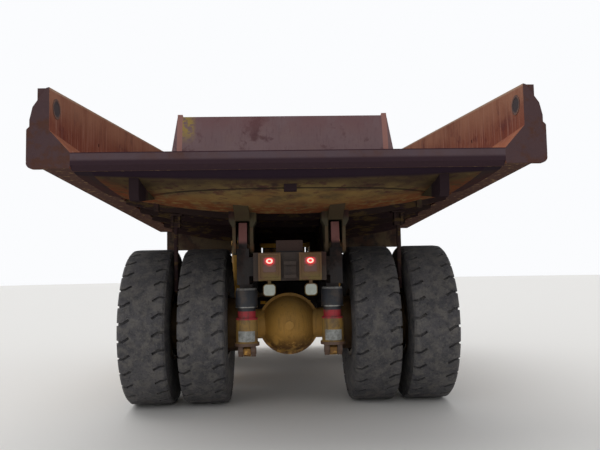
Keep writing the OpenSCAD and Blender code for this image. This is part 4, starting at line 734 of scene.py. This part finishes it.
# %% Seals round the panes
def seal(name, corners, body):
    """corners are the pane's four corners in order; the rim stands both sides of the pane."""
    rim = bmesh.new()
    pane = rim.faces.new([rim.verts.new(c) for c in corners])
    bmesh.ops.inset_region(rim, faces=[pane], thickness=0.028, use_boundary=True,
                           use_even_offset=True)
    bmesh.ops.delete(rim, geom=[pane], context="FACES_ONLY")
    bmesh.ops.solidify(rim, geom=rim.faces[:], thickness=0.020)
    first, second, third = (Vector(c) for c in corners[:3])
    outward = (second - first).cross(third - second).normalized()
    bmesh.ops.translate(rim, verts=rim.verts, vec=outward * 0.010)
    bmesh.ops.bevel(rim, geom=rim.edges[:], offset=0.004, segments=2, profile=0.5,
                    affect="EDGES", material=-1)
    piece(name, rim, seal_rubber, body)


def side_pane(x, back, front, low, high):
    """The four corners of an upright pane in a side of the cab."""
    return [(x, back, low), (x, front, low), (x, front, high), (x, back, high)]


windscreen = [(-1.80, 3.868, 3.47), (-0.76, 3.868, 3.47),
              (-0.76, 3.757, 4.17), (-1.80, 3.757, 4.17)]
rear_window = [(-1.73, 2.17, 3.40), (-0.83, 2.17, 3.40),
               (-0.83, 2.17, 4.17), (-1.73, 2.17, 4.17)]
seal("windscreen_seal", windscreen, "chassis")
seal("right_window_seal", side_pane(-0.63, 2.39, 3.55, 3.34, 4.17), "chassis")
seal("left_pane_seal", side_pane(-1.93, 3.31, 3.55, 3.34, 4.17), "chassis")
seal("rear_window_seal", rear_window, "chassis")
seal("door_window_seal", side_pane(-1.93, 2.51, 3.09, 3.37, 4.10), "door")
print("five seals made")

# %% [markdown]
# ## Mirror glass
# A mirror is silvered glass in a black housing. The glass is one thin plate on the rear face. A
# bevel of the four short edges through its thickness rounds its corners.

# %% Glass of the two mirrors
mirror_low, mirror_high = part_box("mirrors")
glass_x, glass_y, glass_z = 2.44, 4.183, 3.52
glass_width, glass_depth, glass_height = 0.17, 0.006, 0.38
glass_size = Matrix.Diagonal((glass_width, glass_depth, glass_height, 1))
for side, name in sides:
    glass_plate = bmesh.new()
    place = Matrix.Translation((side * glass_x, glass_y, glass_z))
    bmesh.ops.create_cube(glass_plate, size=1, matrix=place @ glass_size)
    through = [e for e in glass_plate.edges if abs((e.verts[0].co - e.verts[1].co).y) > 0.004]
    bmesh.ops.bevel(glass_plate, geom=through, offset=0.03, segments=4, profile=0.5,
                    affect="EDGES", material=-1)
    piece("mirror_glass_" + name, glass_plate, mirror_glass, "chassis")
print("mirrors from", [round(v, 3) for v in mirror_low], "to", [round(v, 3) for v in mirror_high])

# %% [markdown]
# ## Ground and sky
# The truck stands on a plain pale floor under an even sky, so the ground is one big disc and the
# world is nearly white. The world lights the truck at about half the strength that the camera
# sees, because a sky that bright would wash out the old paint. Mirrors and glass show it in full.

# %% Floor and sky
ground = bmesh.new()
bmesh.ops.create_circle(ground, cap_ends=True, segments=96, radius=140)
floor_mesh = bpy.data.meshes.new("floor")
ground.to_mesh(floor_mesh)
ground.free()
floor = bpy.data.objects.new("floor", floor_mesh)
scene.collection.objects.link(floor)
floor_mesh.materials.append(start("pale_floor", Roughness=0.9, Base_Color="e2e0dc")[0])

world = scene.world or bpy.data.worlds.new("sky")
scene.world = world
world.use_nodes = True
sky = world.node_tree
sky.nodes.clear()
rays = add(sky, "ShaderNodeLightPath")
seen = add(sky, "ShaderNodeMath", {
    0: rays.outputs["Is Camera Ray"], 1: rays.outputs["Is Glossy Ray"]}, operation="MAXIMUM")
seen = add(sky, "ShaderNodeMath", {
    0: seen.outputs[0], 1: rays.outputs["Is Transmission Ray"]}, operation="MAXIMUM")
lighting = add(sky, "ShaderNodeBackground", {"Color": "f4f6fa", "Strength": 0.55})
shown = add(sky, "ShaderNodeBackground", {"Color": "fbfcfe", "Strength": 1.0})
mixed = add(sky, "ShaderNodeMixShader", {
    0: seen.outputs[0], 1: lighting.outputs[0], 2: shown.outputs[0]})
add(sky, "ShaderNodeOutputWorld", {0: mixed.outputs[0]})
print("floor and sky made")

# %% [markdown]
# ## Two soft suns
# The sky is overcast, so no edge of a shadow is sharp. A broad sun high ahead of the truck makes
# the soft shadow below it, and a weaker one behind the camera lights the faces that look backward.

# %% Two soft suns
def soft_sun(name, strength, spread, tilt, heading):
    lamp = bpy.data.lights.new(name, "SUN")
    lamp.energy = strength
    lamp.angle = math.radians(spread)
    sun = bpy.data.objects.new(name, lamp)
    sun.rotation_euler = (math.radians(tilt), 0, math.radians(heading))
    scene.collection.objects.link(sun)


soft_sun("sky_light", strength=1.5, spread=70, tilt=25, heading=-150)
soft_sun("fill_light", strength=0.5, spread=60, tilt=65, heading=-20)
scene.view_settings.view_transform = "Standard"
print("two suns set")
